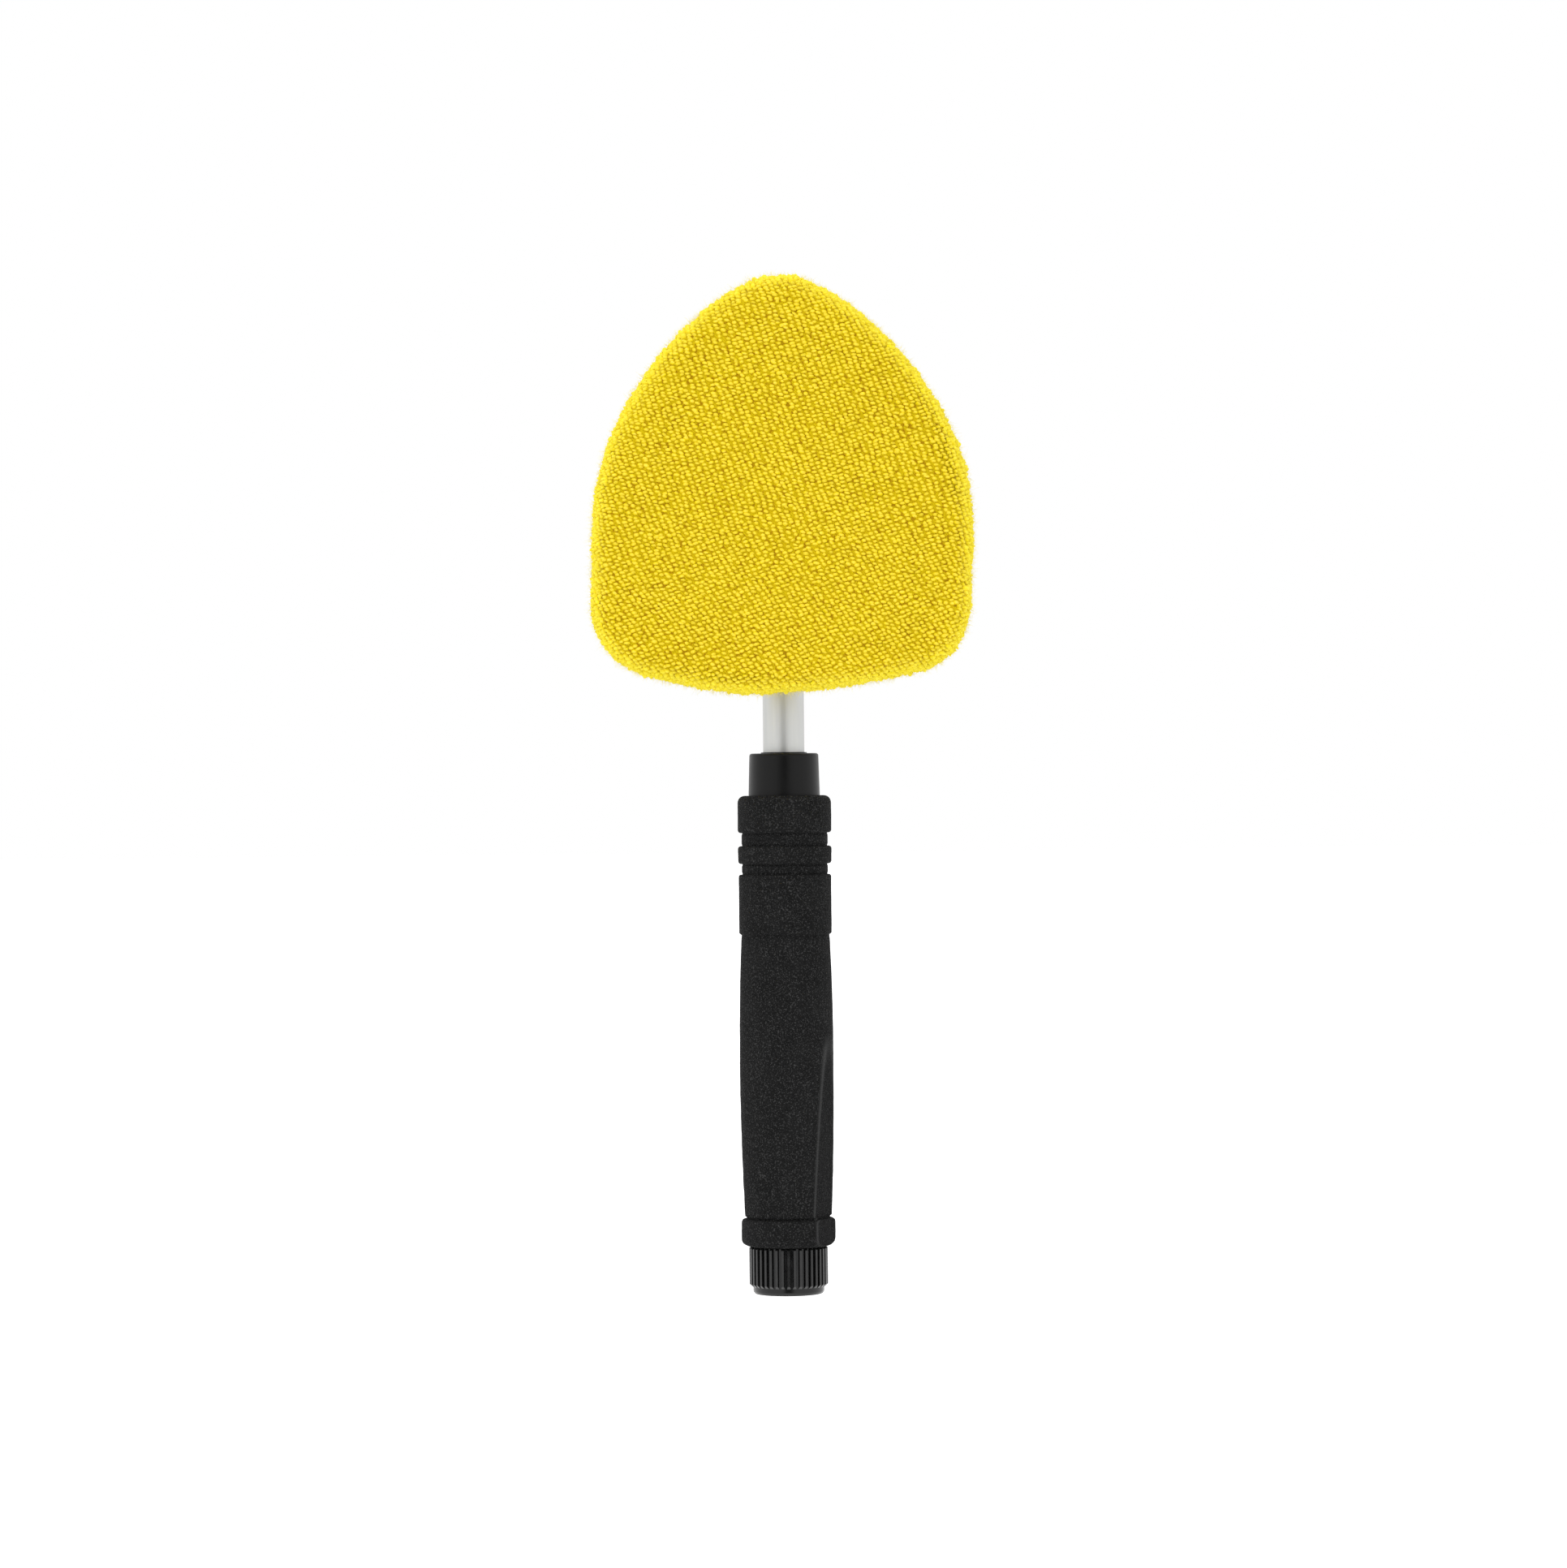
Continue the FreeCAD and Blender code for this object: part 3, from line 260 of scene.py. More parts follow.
def lathe(name, profile, segments, look, shape):
    """A closed profile of (radius, height) turned about the axis.

    Angles run from the face that looks along -Y towards +X. The function shape changes the
    radii of a ring, from its angles, radii and height.
    """
    angles = turns(segments)
    points = []
    for radius, height in profile:
        ring = shape(angles, np.full(segments, float(radius)), height)
        points.append(np.stack([ring * np.sin(angles), -ring * np.cos(angles),
                                np.full(segments, float(height))], axis=1))
    faces = grid_faces(len(profile), segments, close=True)
    return mesh_object(name, np.concatenate(points), faces, look)


ARC_STEPS = 6


def rounded(corners, step):
    """A polyline through (radius, height, rounding) corners with arcs at the rounded ones.

    Straight runs are cut into lengths of at least step.
    """
    spots = [Vector((corner[0], corner[1])) for corner in corners]
    line = []
    for turn_at, (_, _, radius) in enumerate(corners):
        spot = spots[turn_at]
        if radius == 0 or turn_at in (0, len(corners) - 1):
            line.append(spot)
            continue
        before = (spots[turn_at - 1] - spot).normalized()
        after = (spots[turn_at + 1] - spot).normalized()
        half = before.angle(after) / 2
        reach = radius / tan(half)
        centre = spot + (before + after).normalized() * radius / sin(half)
        start, end = spot + before * reach - centre, spot + after * reach - centre
        turn = start.angle_signed(end)
        for number in range(ARC_STEPS + 1):
            line.append(centre + Matrix.Rotation(-turn * number / ARC_STEPS, 2) @ start)
    dense = [line[0]]
    for spot in line[1:]:
        count = max(1, int((spot - dense[-1]).length / step))
        first = dense[-1]
        dense += [first.lerp(spot, number / count) for number in range(1, count + 1)]
    return [(spot.x, spot.y) for spot in dense]


WAVES, WAVES_HEIGHT = 7, 2.6


def wave_field(across, up, scale, seed):
    """A smooth made-up field of about one in size: some waves of about the length scale."""
    local = np.random.default_rng(seed)
    total = np.zeros(across.shape)
    for _ in range(WAVES):
        angle, phase = local.uniform(0, 2 * pi, 2)
        length = scale * local.uniform(0.7, 1.8)
        total += np.sin((across * cos(angle) + up * sin(angle)) * 2 * pi / length + phase)
    return total / WAVES_HEIGHT


# Outlines of the pad


FAR = 1e6
ARC_POINTS = 400


class Pear:
    """A pear outline of tangent arcs and two upright sides, in the plane of the pad."""

    def __init__(self, half, tip, foot, level, tip_radius, corner_radius, foot_radius):
        self.sizes = (half, tip, foot, level, tip_radius, corner_radius, foot_radius)
        tip_centre = tip - tip_radius
        fall = tip_centre - level
        side = (half ** 2 + fall ** 2 - tip_radius ** 2) / (2 * (half - tip_radius))
        lean = atan2(fall, side - half)
        foot_centre = foot + foot_radius
        climb = sqrt((foot_radius - corner_radius) ** 2 - (half - corner_radius) ** 2)
        corner_centre = foot_centre - climb
        dip = atan2(climb, half - corner_radius)
        turn = 2 * pi
        self.half, self.low, self.high = half, corner_centre, level
        # across, up, radius, first angle and last angle of each arc, anticlockwise from +X
        self.arcs = [
            (half - side, level, side, 0.0, lean),
            (0.0, tip_centre, tip_radius, lean, pi - lean),
            (side - half, level, side, pi - lean, pi),
            (corner_radius - half, corner_centre, corner_radius, pi, pi + dip),
            (0.0, foot_centre, foot_radius, pi + dip, turn - dip),
            (half - corner_radius, corner_centre, corner_radius, turn - dip, turn),
        ]

    def inset(self, depth):
        half, tip, foot, level, tip_radius, corner_radius, foot_radius = self.sizes
        return Pear(half - depth, tip - depth, foot + depth, level, tip_radius - depth,
                    corner_radius - depth, foot_radius - depth)

    def project(self, across, up):
        """How far outside the outline points lie, the outward normal and the bend's radius."""
        distance = np.full(across.shape, -1e9)
        normal_x, normal_z = np.zeros(across.shape), np.ones(across.shape)
        bend = np.full(across.shape, FAR)

        def take(valid, apart, x, z, radius):
            better = valid & (apart > distance)
            distance[better] = apart[better]
            normal_x[better], normal_z[better] = x[better], z[better]
            bend[better] = radius

        for centre_x, centre_z, radius, start, end in self.arcs:
            x, z = across - centre_x, up - centre_z
            reach = np.maximum(np.hypot(x, z), 1e-9)
            angle = np.mod(np.arctan2(z, x) + 1e-9, 2 * pi)
            take((angle >= start - 1e-6) & (angle <= end + 1e-6), reach - radius, x / reach,
                 z / reach, radius)
        beside = (up <= self.high) & (up >= self.low)
        take(beside, np.abs(across) - self.half, np.sign(across), np.zeros(across.shape), FAR)
        return distance, normal_x, normal_z, bend

    def walk(self, count):
        """Evenly spaced rows of (across, up, normal across, normal up), from the tip."""
        runs = []
        for x, z, radius, start, end in self.arcs:
            steps = np.linspace(start, end, ARC_POINTS)
            runs.append(np.stack([x + radius * np.cos(steps), z + radius * np.sin(steps),
                                  np.cos(steps), np.sin(steps)], axis=1))
        line = np.concatenate(runs + [runs[0][:1]])
        steps = np.hypot(np.diff(line[:, 0]), np.diff(line[:, 1]))
        line = line[np.concatenate([[True], steps > 1e-6])]
        steps = np.hypot(np.diff(line[:, 0]), np.diff(line[:, 1]))
        along = np.concatenate([[0.0], np.cumsum(steps)])
        top = along[np.argmax(line[:, 1])]
        wanted = np.mod(top + np.arange(count) * along[-1] / count, along[-1])
        return np.stack([np.interp(wanted, along, line[:, column]) for column in range(4)], axis=1)


HEAD = Pear(64.3, 76.7, -63.9, -13.3, 26.4, 25.1, 173.0)
MOUTH = Pear(42.0, 51.6, -42.3, -14.8, 20.0, 14.0, 150.0)
FRONT, BACK = 27.3, 9.7
FRONT_ROUND, BACK_ROUND = 8.0, 5.5
SIDE = FRONT - FRONT_ROUND - BACK - BACK_ROUND
HEM_DEPTH = 11.2
MIDDLE_UP = -6.0
FACE = HEAD.inset(FRONT_ROUND)
# where the soft rim stands out or in: across, up, spread and amount
BULGES = ((-20.0, -62.0, 17.0, 0.8), (28.0, -61.0, 17.0, -0.8), (61.0, 14.0, 18.0, 0.9),
          (64.0, -34.0, 14.0, -0.5), (-48.0, 40.0, 22.0, -0.4))


def bulge(across, up):
    """How far the soft rim stands out at some places, less where it stands in."""
    return sum(amount * np.exp(-((across - x) ** 2 + (up - z) ** 2) / spread ** 2)
               for x, z, spread, amount in BULGES)


def pad_profile(sunk):
    """The cover's section from the front face outwards, round the rim and in behind.

    Returns a function from the length along the cloth to how far outside the front face's
    edge and how deep it lies, and its normal, for a surface sunk below the outer one.
    """
    front, back = FRONT_ROUND - sunk, BACK_ROUND - sunk
    first = (FRONT_ROUND - sunk / 2) * pi / 2
    second = first + SIDE
    third = second + (BACK_ROUND - sunk / 2) * pi / 2

    def section(along):
        turn = np.clip(along / first, 0, 1) * pi / 2
        under = np.clip((along - second) / (third - second), 0, 1) * pi / 2
        behind = along > second
        out = np.where(behind, FRONT_ROUND - BACK_ROUND + back * np.cos(under),
                       front * np.sin(turn))
        depth = FRONT - FRONT_ROUND + front * np.cos(turn) - np.clip(along - first, 0, SIDE)
        depth = np.where(behind, BACK + BACK_ROUND - back * np.sin(under), depth)
        normal_out = np.where(behind, np.cos(under), np.sin(turn))
        normal_front = np.where(behind, -np.sin(under), np.cos(turn))
        return out, depth, normal_out, normal_front

    return section, third


def to_points(across, up, depth):
    """Points from places across and up from the swivel pin, and depths from the pole's axis."""
    return np.stack([across, np.full(across.shape, -1.0) * depth, up + PIN], axis=1)


def beyond(line, reach):
    """Places across and up that lie a reach outside a walked outline."""
    return line[:, :2].T + line[:, 2:].T * reach


def outward(line, side, front):
    """Normals made of a part away from a walked outline and a part to the front."""
    return np.stack([line[:, 2] * side, np.full(len(line), -front), line[:, 3] * side], axis=1)


def shrunk(line, share, depth):
    """A ring of points like an outline, drawn in towards the pad's middle."""
    return to_points(line[:, 0] * share, MIDDLE_UP + (line[:, 1] - MIDDLE_UP) * share, depth)


def flat_row(line, share, depth):
    """A ring on a flat front, with its normals."""
    return shrunk(line, share, depth), outward(line, 0.0, 1.0)


def pad_rows(sunk, count, shares, steps):
    """Rings of points and normals over the face, round the rim and in to the back's edge."""
    section, reach = pad_profile(sunk)
    edge = FACE.walk(count)
    rows = [flat_row(edge, share, FRONT - sunk) for share in shares]
    for along in np.linspace(0, reach, steps):
        out, depth, side, front = [float(part) for part in section(np.array(along))]
        extra = bulge(*beyond(edge, out)) * min(1.0, along / FRONT_ROUND)
        rows.append((to_points(*beyond(edge, out + extra), depth), outward(edge, side, front)))
    return rows


# Lights, world and floor


def area_light(name, where, size, power):
    """A rectangular lamp that looks at the part's middle."""
    data = bpy.data.lights.new(name, "AREA")
    data.shape = "RECTANGLE"
    data.size, data.size_y = size
    data.energy = power
    lamp = put(name, data)
    lamp.location = where
    lamp.rotation_euler = (LIT_MIDDLE - Vector(where)).to_track_quat("-Z", "Y").to_euler()
    return lamp


LIT_MIDDLE = Vector((0.0, 0.0, 0.19))
key_left = area_light("key_left", (-1.0, -1.0, 1.05), (1.0, 1.2), 8.2)
key_right = area_light("key_right", (1.10, -0.95, 0.95), (1.2, 1.0), 3.6)
area_light("top", (0.0, -0.25, 1.6), (1.2, 1.0), 2.8)
low_fill = area_light("low_fill", (0.1, -0.8, -0.33), (1.0, 0.5), 2.8)
for lamp in (key_left, key_right, low_fill):
    lamp.visible_glossy = False

WORLD_LIGHT, WORLD_SEEN = 0.95, 1.0
world = bpy.data.worlds.new("studio")
scene.world = world
world.use_nodes = True
background = world.node_tree.nodes["Background"]
background.inputs["Color"].default_value = (1.0, 1.0, 1.0, 1.0)
level = add(world, "MapRange", in_Value=seen_directly(world), in_To_Min=WORLD_LIGHT,
            in_To_Max=WORLD_SEEN)
join(world, level.outputs["Result"], background.inputs["Strength"])

scene.view_settings.view_transform = "Standard"

FLOOR_LEVEL = -0.40
FLOOR_HALF = 40.0
FLOOR_GLOW = 0.62
SQUARE = ((-1, -1), (1, -1), (1, 1), (-1, 1))
floor_material, floor_shader = new_material("floor", Base_Color=(0.90, 0.90, 0.90, 1.0),
                                            Roughness=0.9, Specular_IOR_Level=0.0)
floor_shader.inputs["Emission Color"].default_value = (1.0, 1.0, 1.0, 1.0)
glow = arithmetic(floor_material, "MULTIPLY", seen_directly(floor_material), FLOOR_GLOW)
join(floor_material, glow, floor_shader.inputs["Emission Strength"])
floor_points = [(x * FLOOR_HALF / MM, y * FLOOR_HALF / MM, FLOOR_LEVEL / MM) for x, y in SQUARE]
floor = mesh_object("floor", floor_points, [(0, 1, 2, 3)], floor_material, smooth=False)

# a black card behind the camera, which darkens the middle of what shines
CARD_HALF_WIDTH, CARD_HALF_HEIGHT = 490.0, 700.0
CARD_AWAY, CARD_MIDDLE = 2000.0, 200.0
card_material, _ = new_material("card_black", Base_Color=(0.01, 0.01, 0.01, 1.0), Roughness=0.9)
card_points = [(x * CARD_HALF_WIDTH, -CARD_AWAY, CARD_MIDDLE + z * CARD_HALF_HEIGHT)
               for x, z in SQUARE]
card = mesh_object("card", card_points, [(0, 1, 2, 3)], card_material, smooth=False)
card.visible_camera = False


# Materials


def terry_material():
    """Yellow looped cotton, each loop a little different, with painted light.

    Each loop is painted darker down its flanks and paler at its top, and the loops on the rim
    are painted lighter than those on the face.
    """
    look, shader = new_material("terry", Roughness=0.9, Specular_IOR_Level=0.08,
                                Sheen_Weight=0.15, Sheen_Roughness=0.5)
    shader.inputs["Sheen Tint"].default_value = (1.0, 0.90, 0.35, 1.0)
    tone_and_light = split(look, "Color", painted(look, "tone_and_light"))
    # painted shade and light: each loop darker down its flanks and paler at its top
    face = ramp(look, tone_and_light["Green"], [
        (0.0, (0.64, 0.485, 0.001)), (0.5, (0.87, 0.68, 0.003)), (1.0, (0.91, 0.72, 0.058))])
    # painted light: loops on the rim are coloured lighter than those on the face
    rim_light = ramp(look, tone_and_light["Green"], [(0.0, (0.985, 0.82, 0.010)), (1.0, (0.995, 0.85, 0.062))])
    fibre = noise(look, place(look), 2300.0, 4.0)
    shade = ramp(look, fibre, [(0.3, grey(0.86)), (0.7, grey(1.0))])
    varied = multiply(look, mix(look, tone_and_light["Blue"], face, rim_light), shade)
    spread = ramp(look, tone_and_light["Red"], [
        (0.0, (0.88, 0.87, 0.70)), (0.5, grey(1.0)), (1.0, (1.05, 1.06, 1.5))])
    join(look, multiply(look, varied, spread), shader.inputs["Base Color"])
    bump(look, shader, fibre, 0.00014, 0.8)
    return look


def cloth_material(name, low, high, spot_shade):
    """A woven cloth from low to high in colour, darkened by the last colour in small spots of
    painted shade.
    """
    look, shader = new_material(name, Roughness=0.9, Specular_IOR_Level=0.1,
                                Sheen_Weight=0.1, Sheen_Roughness=0.5)
    where = place(look)
    wave = add(look, "TexWave", wave_type="BANDS", bands_direction="DIAGONAL",
               in_Vector=where, in_Scale=700.0, in_Distortion=2.0)
    base = ramp(look, wave.outputs["Fac"], [(0.0, low), (1.0, high)])
    spots = noise(look, where, 700.0, 1.0)
    # painted shade: the cloth is darkened in small spots
    shaded_spots = ramp(look, spots, [(0.50, grey(1.0)), (0.66, spot_shade)])
    join(look, multiply(look, base, shaded_spots), shader.inputs["Base Color"])
    bump(look, shader, wave.outputs["Fac"], 0.0002, 0.6)
    return look


TERRY = terry_material()
FUZZ, _ = new_material("loose_cotton", Base_Color=(0.95, 0.82, 0.10, 1.0), Roughness=1.0,
                       Specular_IOR_Level=0.02)
# the ground cloth is coloured darker than the loops, and darker still in spots: painted shade in
# the gaps between them
GROUND = cloth_material("ground_weave", (0.55, 0.40, 0.001), (0.69, 0.52, 0.002),
                        (0.66, 0.51, 0.50))
HEM = cloth_material("hem_weave", (0.52, 0.36, 0.005), (0.74, 0.54, 0.012), grey(1.0))
THREAD, _ = new_material("stitch_thread", Base_Color=(0.80, 0.66, 0.09, 1.0), Roughness=0.7)


def plastic(name, colour, roughness, specular, grain=5000.0, depth=0.00002):
    """Moulded plastic with a fine grain and faint handling marks."""
    look, shader = new_material(name, Specular_IOR_Level=specular)
    where = place(look)
    fine = noise(look, where, grain, 2.0)
    broad = noise(look, where, 90.0, 4.0)
    tint = ramp(look, broad, [(0.3, times(colour, 0.85)), (0.7, times(colour, 1.15))])
    join(look, tint, shader.inputs["Base Color"])
    rough = ramp(look, broad, [(0.35, grey(roughness * 0.9)), (0.7, grey(roughness * 1.12))])
    join(look, rough, shader.inputs["Roughness"])
    bump(look, shader, fine, depth, 0.5)
    return look


def threaded(name, colour, pitch):
    """Plastic with a screw thread round the upright axis, as a bump."""
    look, shader = new_material(name, Base_Color=(*colour, 1.0), Roughness=0.4,
                                Specular_IOR_Level=0.3)
    axes = split(look, "XYZ", place(look))
    turn = arithmetic(look, "ARCTAN2", axes["Y"], axes["X"])
    rise = arithmetic(look, "MULTIPLY", axes["Z"], 2 * pi / (pitch * MM))
    ridge = arithmetic(look, "SINE", arithmetic(look, "SUBTRACT", rise, turn))
    bump(look, shader, ridge, 0.0003, 1.0)
    return look


def metal(name, colour, roughness, stretch):
    """Drawn or turned metal: fine lines along one way, a little uneven."""
    look, shader = new_material(name, Metallic=1.0)
    lines = noise(look, place(look, stretch), 1.0, 3.0, 0.6)
    broad = noise(look, place(look), 60.0)
    tint = ramp(look, lines, [(0.3, times(colour, 0.94)), (0.7, times(colour, 1.06))])
    join(look, tint, shader.inputs["Base Color"])
    uneven = mix(look, 0.35, lines, broad)
    rough = ramp(look, uneven, [(0.3, grey(roughness * 0.85)), (0.7, grey(roughness * 1.2))])
    join(look, rough, shader.inputs["Roughness"])
    bump(look, shader, lines, 0.00001, 0.35)
    return look


# how far up from their ends the ribs carry a painted highlight
END_HIGHLIGHT_LENGTH = 0.8
END_FACE_LOW, END_FACE_HIGH = 0.3, 0.5


def ribbed_plastic(name, root, crest, low, high, end):
    """Glossy plastic whose rib crests are painted paler than the grooves between them.

    The colour goes from low at the root radius to high at the crest radius: painted shade in
    the grooves and a painted highlight on the crests. The ribs get a pale painted highlight
    where they end, at the height end, and the flat end face is matt.
    """
    look, shader = new_material(name, Specular_IOR_Level=0.35)
    where = place(look)
    axes = split(look, "XYZ", where)
    flat = add(look, "CombineXYZ", in_X=axes["X"], in_Y=axes["Y"])
    away = add(look, "VectorMath", operation="LENGTH")
    join(look, flat.outputs["Vector"], away.inputs[0])
    crests = span(look, away.outputs["Value"], root * MM, crest * MM)
    # painted shade and light: dark in the grooves, paler on the crests
    tint = ramp(look, crests, [(0.25, grey(low)), (1.0, grey(high))])
    # painted highlight on the rib ends
    ends = span(look, axes["Z"], (end + END_HIGHLIGHT_LENGTH) * MM, end * MM)
    tint = mix(look, arithmetic(look, "MULTIPLY", ends, crests), tint, grey(0.11))
    broad = noise(look, where, 300.0)
    marks = ramp(look, broad, [(0.3, grey(0.7)), (0.7, grey(1.2))])
    join(look, multiply(look, tint, marks), shader.inputs["Base Color"])
    rough = ramp(look, broad, [(0.35, grey(0.16)), (0.7, grey(0.26))])
    face = span(look, axes["Z"], END_FACE_HIGH * MM, END_FACE_LOW * MM)
    join(look, mix(look, face, rough, grey(0.7)), shader.inputs["Roughness"])
    return look


ALUMINIUM = metal("satin_aluminium", (0.545, 0.55, 0.54), 0.45, (900.0, 900.0, 14.0))
STEEL = metal("turned_steel", (0.55, 0.55, 0.55), 0.25, (40.0, 1500.0, 1500.0))
COLLAR_BLACK = plastic("collar_black", (0.0010, 0.0010, 0.0010), 0.37, 0.225)
CAP_BLACK = ribbed_plastic("cap_black", 12.45, 13.35, 0.001, 0.015, 2.5)
PLATE_BLACK = plastic("plate_black", (0.016, 0.016, 0.017), 0.5, 0.35, 3500.0, 0.00004)
NATURAL = plastic("natural_acetal", (0.62, 0.61, 0.56), 0.45, 0.4)
BLACK_INSIDE = plastic("black_nylon", (0.02, 0.02, 0.02), 0.5, 0.35)
FERRULE = threaded("threaded_black", (0.02, 0.02, 0.02), 3.0)


def foam_material(name, colour, speck, pore_scale, depth, specular=0.12):
    """Closed-cell foam skin: tiny pores, some pinholes, paler specks and painted light.

    The pinholes get painted shade; where a mesh carries painted light, its facets' edges get a
    painted highlight and its facets painted shade.
    """
    look, shader = new_material(name, Roughness=0.8, Specular_IOR_Level=specular)
    where = place(look)
    cells = add(look, "TexVoronoi", in_Vector=where, in_Scale=pore_scale)
    grain = noise(look, where, pore_scale * 1.3)
    broad = noise(look, where, 120.0)
    specks = ramp(look, grain, [(0.53, grey(0.0)), (0.67, grey(1.0))])
    # painted shade in the pinholes
    pinhole_shade = ramp(look, cells.outputs["Distance"], [(0.10, grey(0.35)), (0.30, grey(1.0))])
    tint = ramp(look, broad, [(0.3, times(colour, 0.85)), (0.7, times(colour, 1.18))])
    # painted light from the mesh: a highlight along the facets' edges and shade on the facets
    painted_light = split(look, "Color", painted(look, "painted_light"))
    edge = arithmetic(look, "MULTIPLY", painted_light["Red"], 0.95)
    pale = arithmetic(look, "MAXIMUM", specks, edge)
    skin = mix(look, pale, multiply(look, tint, pinhole_shade), speck)
    # painted shade: the facets are coloured darker
    flat = ramp(look, painted_light["Green"], [(0.0, grey(1.0)), (1.0, grey(0.75))])
    join(look, multiply(look, skin, flat), shader.inputs["Base Color"])
    height = mix(look, 0.5, cells.outputs["Distance"], grain)
    bump(look, shader, height, depth, 1.0)
    return look


GRIP_FOAM = foam_material("grip_foam", (0.0098, 0.0098, 0.0099), (0.050, 0.050, 0.050),
                          1600.0, 0.0008, 0.05)
GASKET = foam_material("gasket_rubber", (0.012, 0.012, 0.012), (0.02, 0.02, 0.02), 1800.0, 0.00003)
PAD_FOAM = foam_material("pad_foam", (0.50, 0.50, 0.47), (0.36, 0.36, 0.33), 1400.0, 0.0003)


# Soft shape of the pad


# how deep the ground cloth lies under the loops' tops, and its thickness
SUNK, CLOTH = 1.45, 0.8
SWELL_CAP = 1.3
SIM_FRAMES = 20
SIM_RINGS = 96
SIM_GRAIN = 5.0
HELD_BEHIND = 16.0
# each place on the cover moves like this many points of the cushion, mostly the nearest
NEAREST, NEAR_REACH = 6, 2.0
UNEVEN, UNEVEN_LENGTH = 0.2, 42.0


def make_cushion():
    """The pad's outer form as one closed mesh of even faces."""
    rows = pad_rows(0.0, SIM_RINGS, (0.15, 0.3, 0.45, 0.6, 0.75, 0.9), 10)
    cushion = closed_shell("cushion", [points for points, _ in rows], TERRY)
    remesh = cushion.modifiers.new("even", "REMESH")
    remesh.mode = "VOXEL"
    remesh.voxel_size = SIM_GRAIN * MM
    graph = bpy.context.evaluated_depsgraph_get()
    even = bpy.data.meshes.new_from_object(cushion.evaluated_get(graph))
    cushion.modifiers.clear()
    cushion.data = even
    return cushion


def add_cloth(cushion, start):
    """Cloth under pressure, held at its points behind the face."""
    held = cushion.vertex_groups.new(name="held")
    behind = np.nonzero(start[:, 1] > -HELD_BEHIND * MM)[0]
    held.add(behind.tolist(), 1.0, "REPLACE")
    cloth = cushion.modifiers.new("cloth", "CLOTH")
    cloth.settings.quality = 6
    cloth.settings.mass = 0.3
    cloth.settings.tension_stiffness = cloth.settings.compression_stiffness = 40.0
    cloth.settings.shear_stiffness = 20.0
    cloth.settings.bending_stiffness = 3.0
    cloth.settings.use_pressure = True
    cloth.settings.uniform_pressure_force = 4.0
    cloth.settings.vertex_group_mass = "held"
    cloth.settings.effector_weights.gravity = 0.0
    cloth.point_cache.frame_end = SIM_FRAMES


def corners_of(mesh):
    return np.array([vertex.co[:] for vertex in mesh.vertices])


def let_swell():
    """The cover as a closed cushion under pressure, let go for a few frames of cloth.

    Returns a search tree of the cushion's points and how far each one moved.
    """
    cushion = make_cushion()
    start = corners_of(cushion.data)
    add_cloth(cushion, start)
    for number in range(1, SIM_FRAMES + 1):
        scene.frame_set(number)
    graph = bpy.context.evaluated_depsgraph_get()
    end = corners_of(cushion.evaluated_get(graph).to_mesh())
    cushion.evaluated_get(graph).to_mesh_clear()
    bpy.data.objects.remove(cushion)
    scene.frame_set(1)
    moved = (end - start) / MM
    found = KDTree(len(start))
    for number, spot in enumerate(start):
        found.insert(spot, number)
    found.balance()
    return found, moved


swelling = let_swell()


def swell(points, normals):
    """How far the soft cover stands out at points, along their normals."""
    uneven = UNEVEN * wave_field(points[:, 0], points[:, 2] - PIN, UNEVEN_LENGTH, 5)
    if swelling is None:
        return uneven
    found, moved = swelling
    total = np.zeros(len(points))
    for number, (point, normal) in enumerate(zip(points, normals)):
        near = found.find_n(point * MM, NEAREST)
        weights = np.array([1 / (apart / MM + NEAR_REACH) ** 2 for _, _, apart in near])
        shift = weights @ moved[[index for _, index, _ in near]] / weights.sum()
        total[number] = shift @ normal
    return SWELL_CAP * np.tanh(total / SWELL_CAP) + uneven


def swollen(points, normals, share=1.0):
    """Points moved out with the soft cover."""
    return points + normals * (share * swell(points, normals))[:, None]


# Terry cover: ground cloth and loops


RINGS = 320
PITCH_ACROSS, PITCH_ALONG = 2.0, 1.34
COLUMN_LEAN = radians(20.0)


def lattice(half_width, half_height, turn):
    """Rows and columns of loop places, turned so that columns lean to the right going down."""
    reach = hypot(half_width, half_height)
    columns, rows = int(reach / PITCH_ACROSS) + 1, int(reach / PITCH_ALONG) + 1
    column, row = np.meshgrid(np.arange(-columns, columns + 1), np.arange(-rows, rows + 1),
                              indexing="ij")
    side, rise = column * PITCH_ACROSS, row * PITCH_ALONG
    across = side * cos(turn) - rise * sin(turn)
    up = side * sin(turn) + rise * cos(turn)
    keep = (np.abs(across) < half_width) & (np.abs(up) < half_height)
    return across[keep], up[keep]


LOOP_SIDES = 8
LOOP_POWER = 2.3
LOOP_RINGS = ((0.46, 0.87), (0.78, 0.56), (1.0, 0.05), (0.96, -0.35))


def loop_template():
    """One loop as a rounded pillow: points of (along, across, up, painted light)."""
    points = [(0.0, 0.0, 1.0, 1.0)]
    for reach, height in LOOP_RINGS:
        for angle in turns(LOOP_SIDES):
            x, y = cos(angle), sin(angle)
            power = abs(x) ** LOOP_POWER + abs(y) ** LOOP_POWER
            square = reach * power ** (-1 / LOOP_POWER)
            # painted light: the fourth value is bright at the loop's top, with painted shade
            # towards its foot
            points.append((square * x, square * y, height, max(0.0, 0.1 + 0.9 * height)))
    faces = [(0, 1 + side, 1 + (side + 1) % LOOP_SIDES) for side in range(LOOP_SIDES)]
    faces += grid_faces(len(LOOP_RINGS), LOOP_SIDES, first=1, flip=True)
    return np.array(points), faces


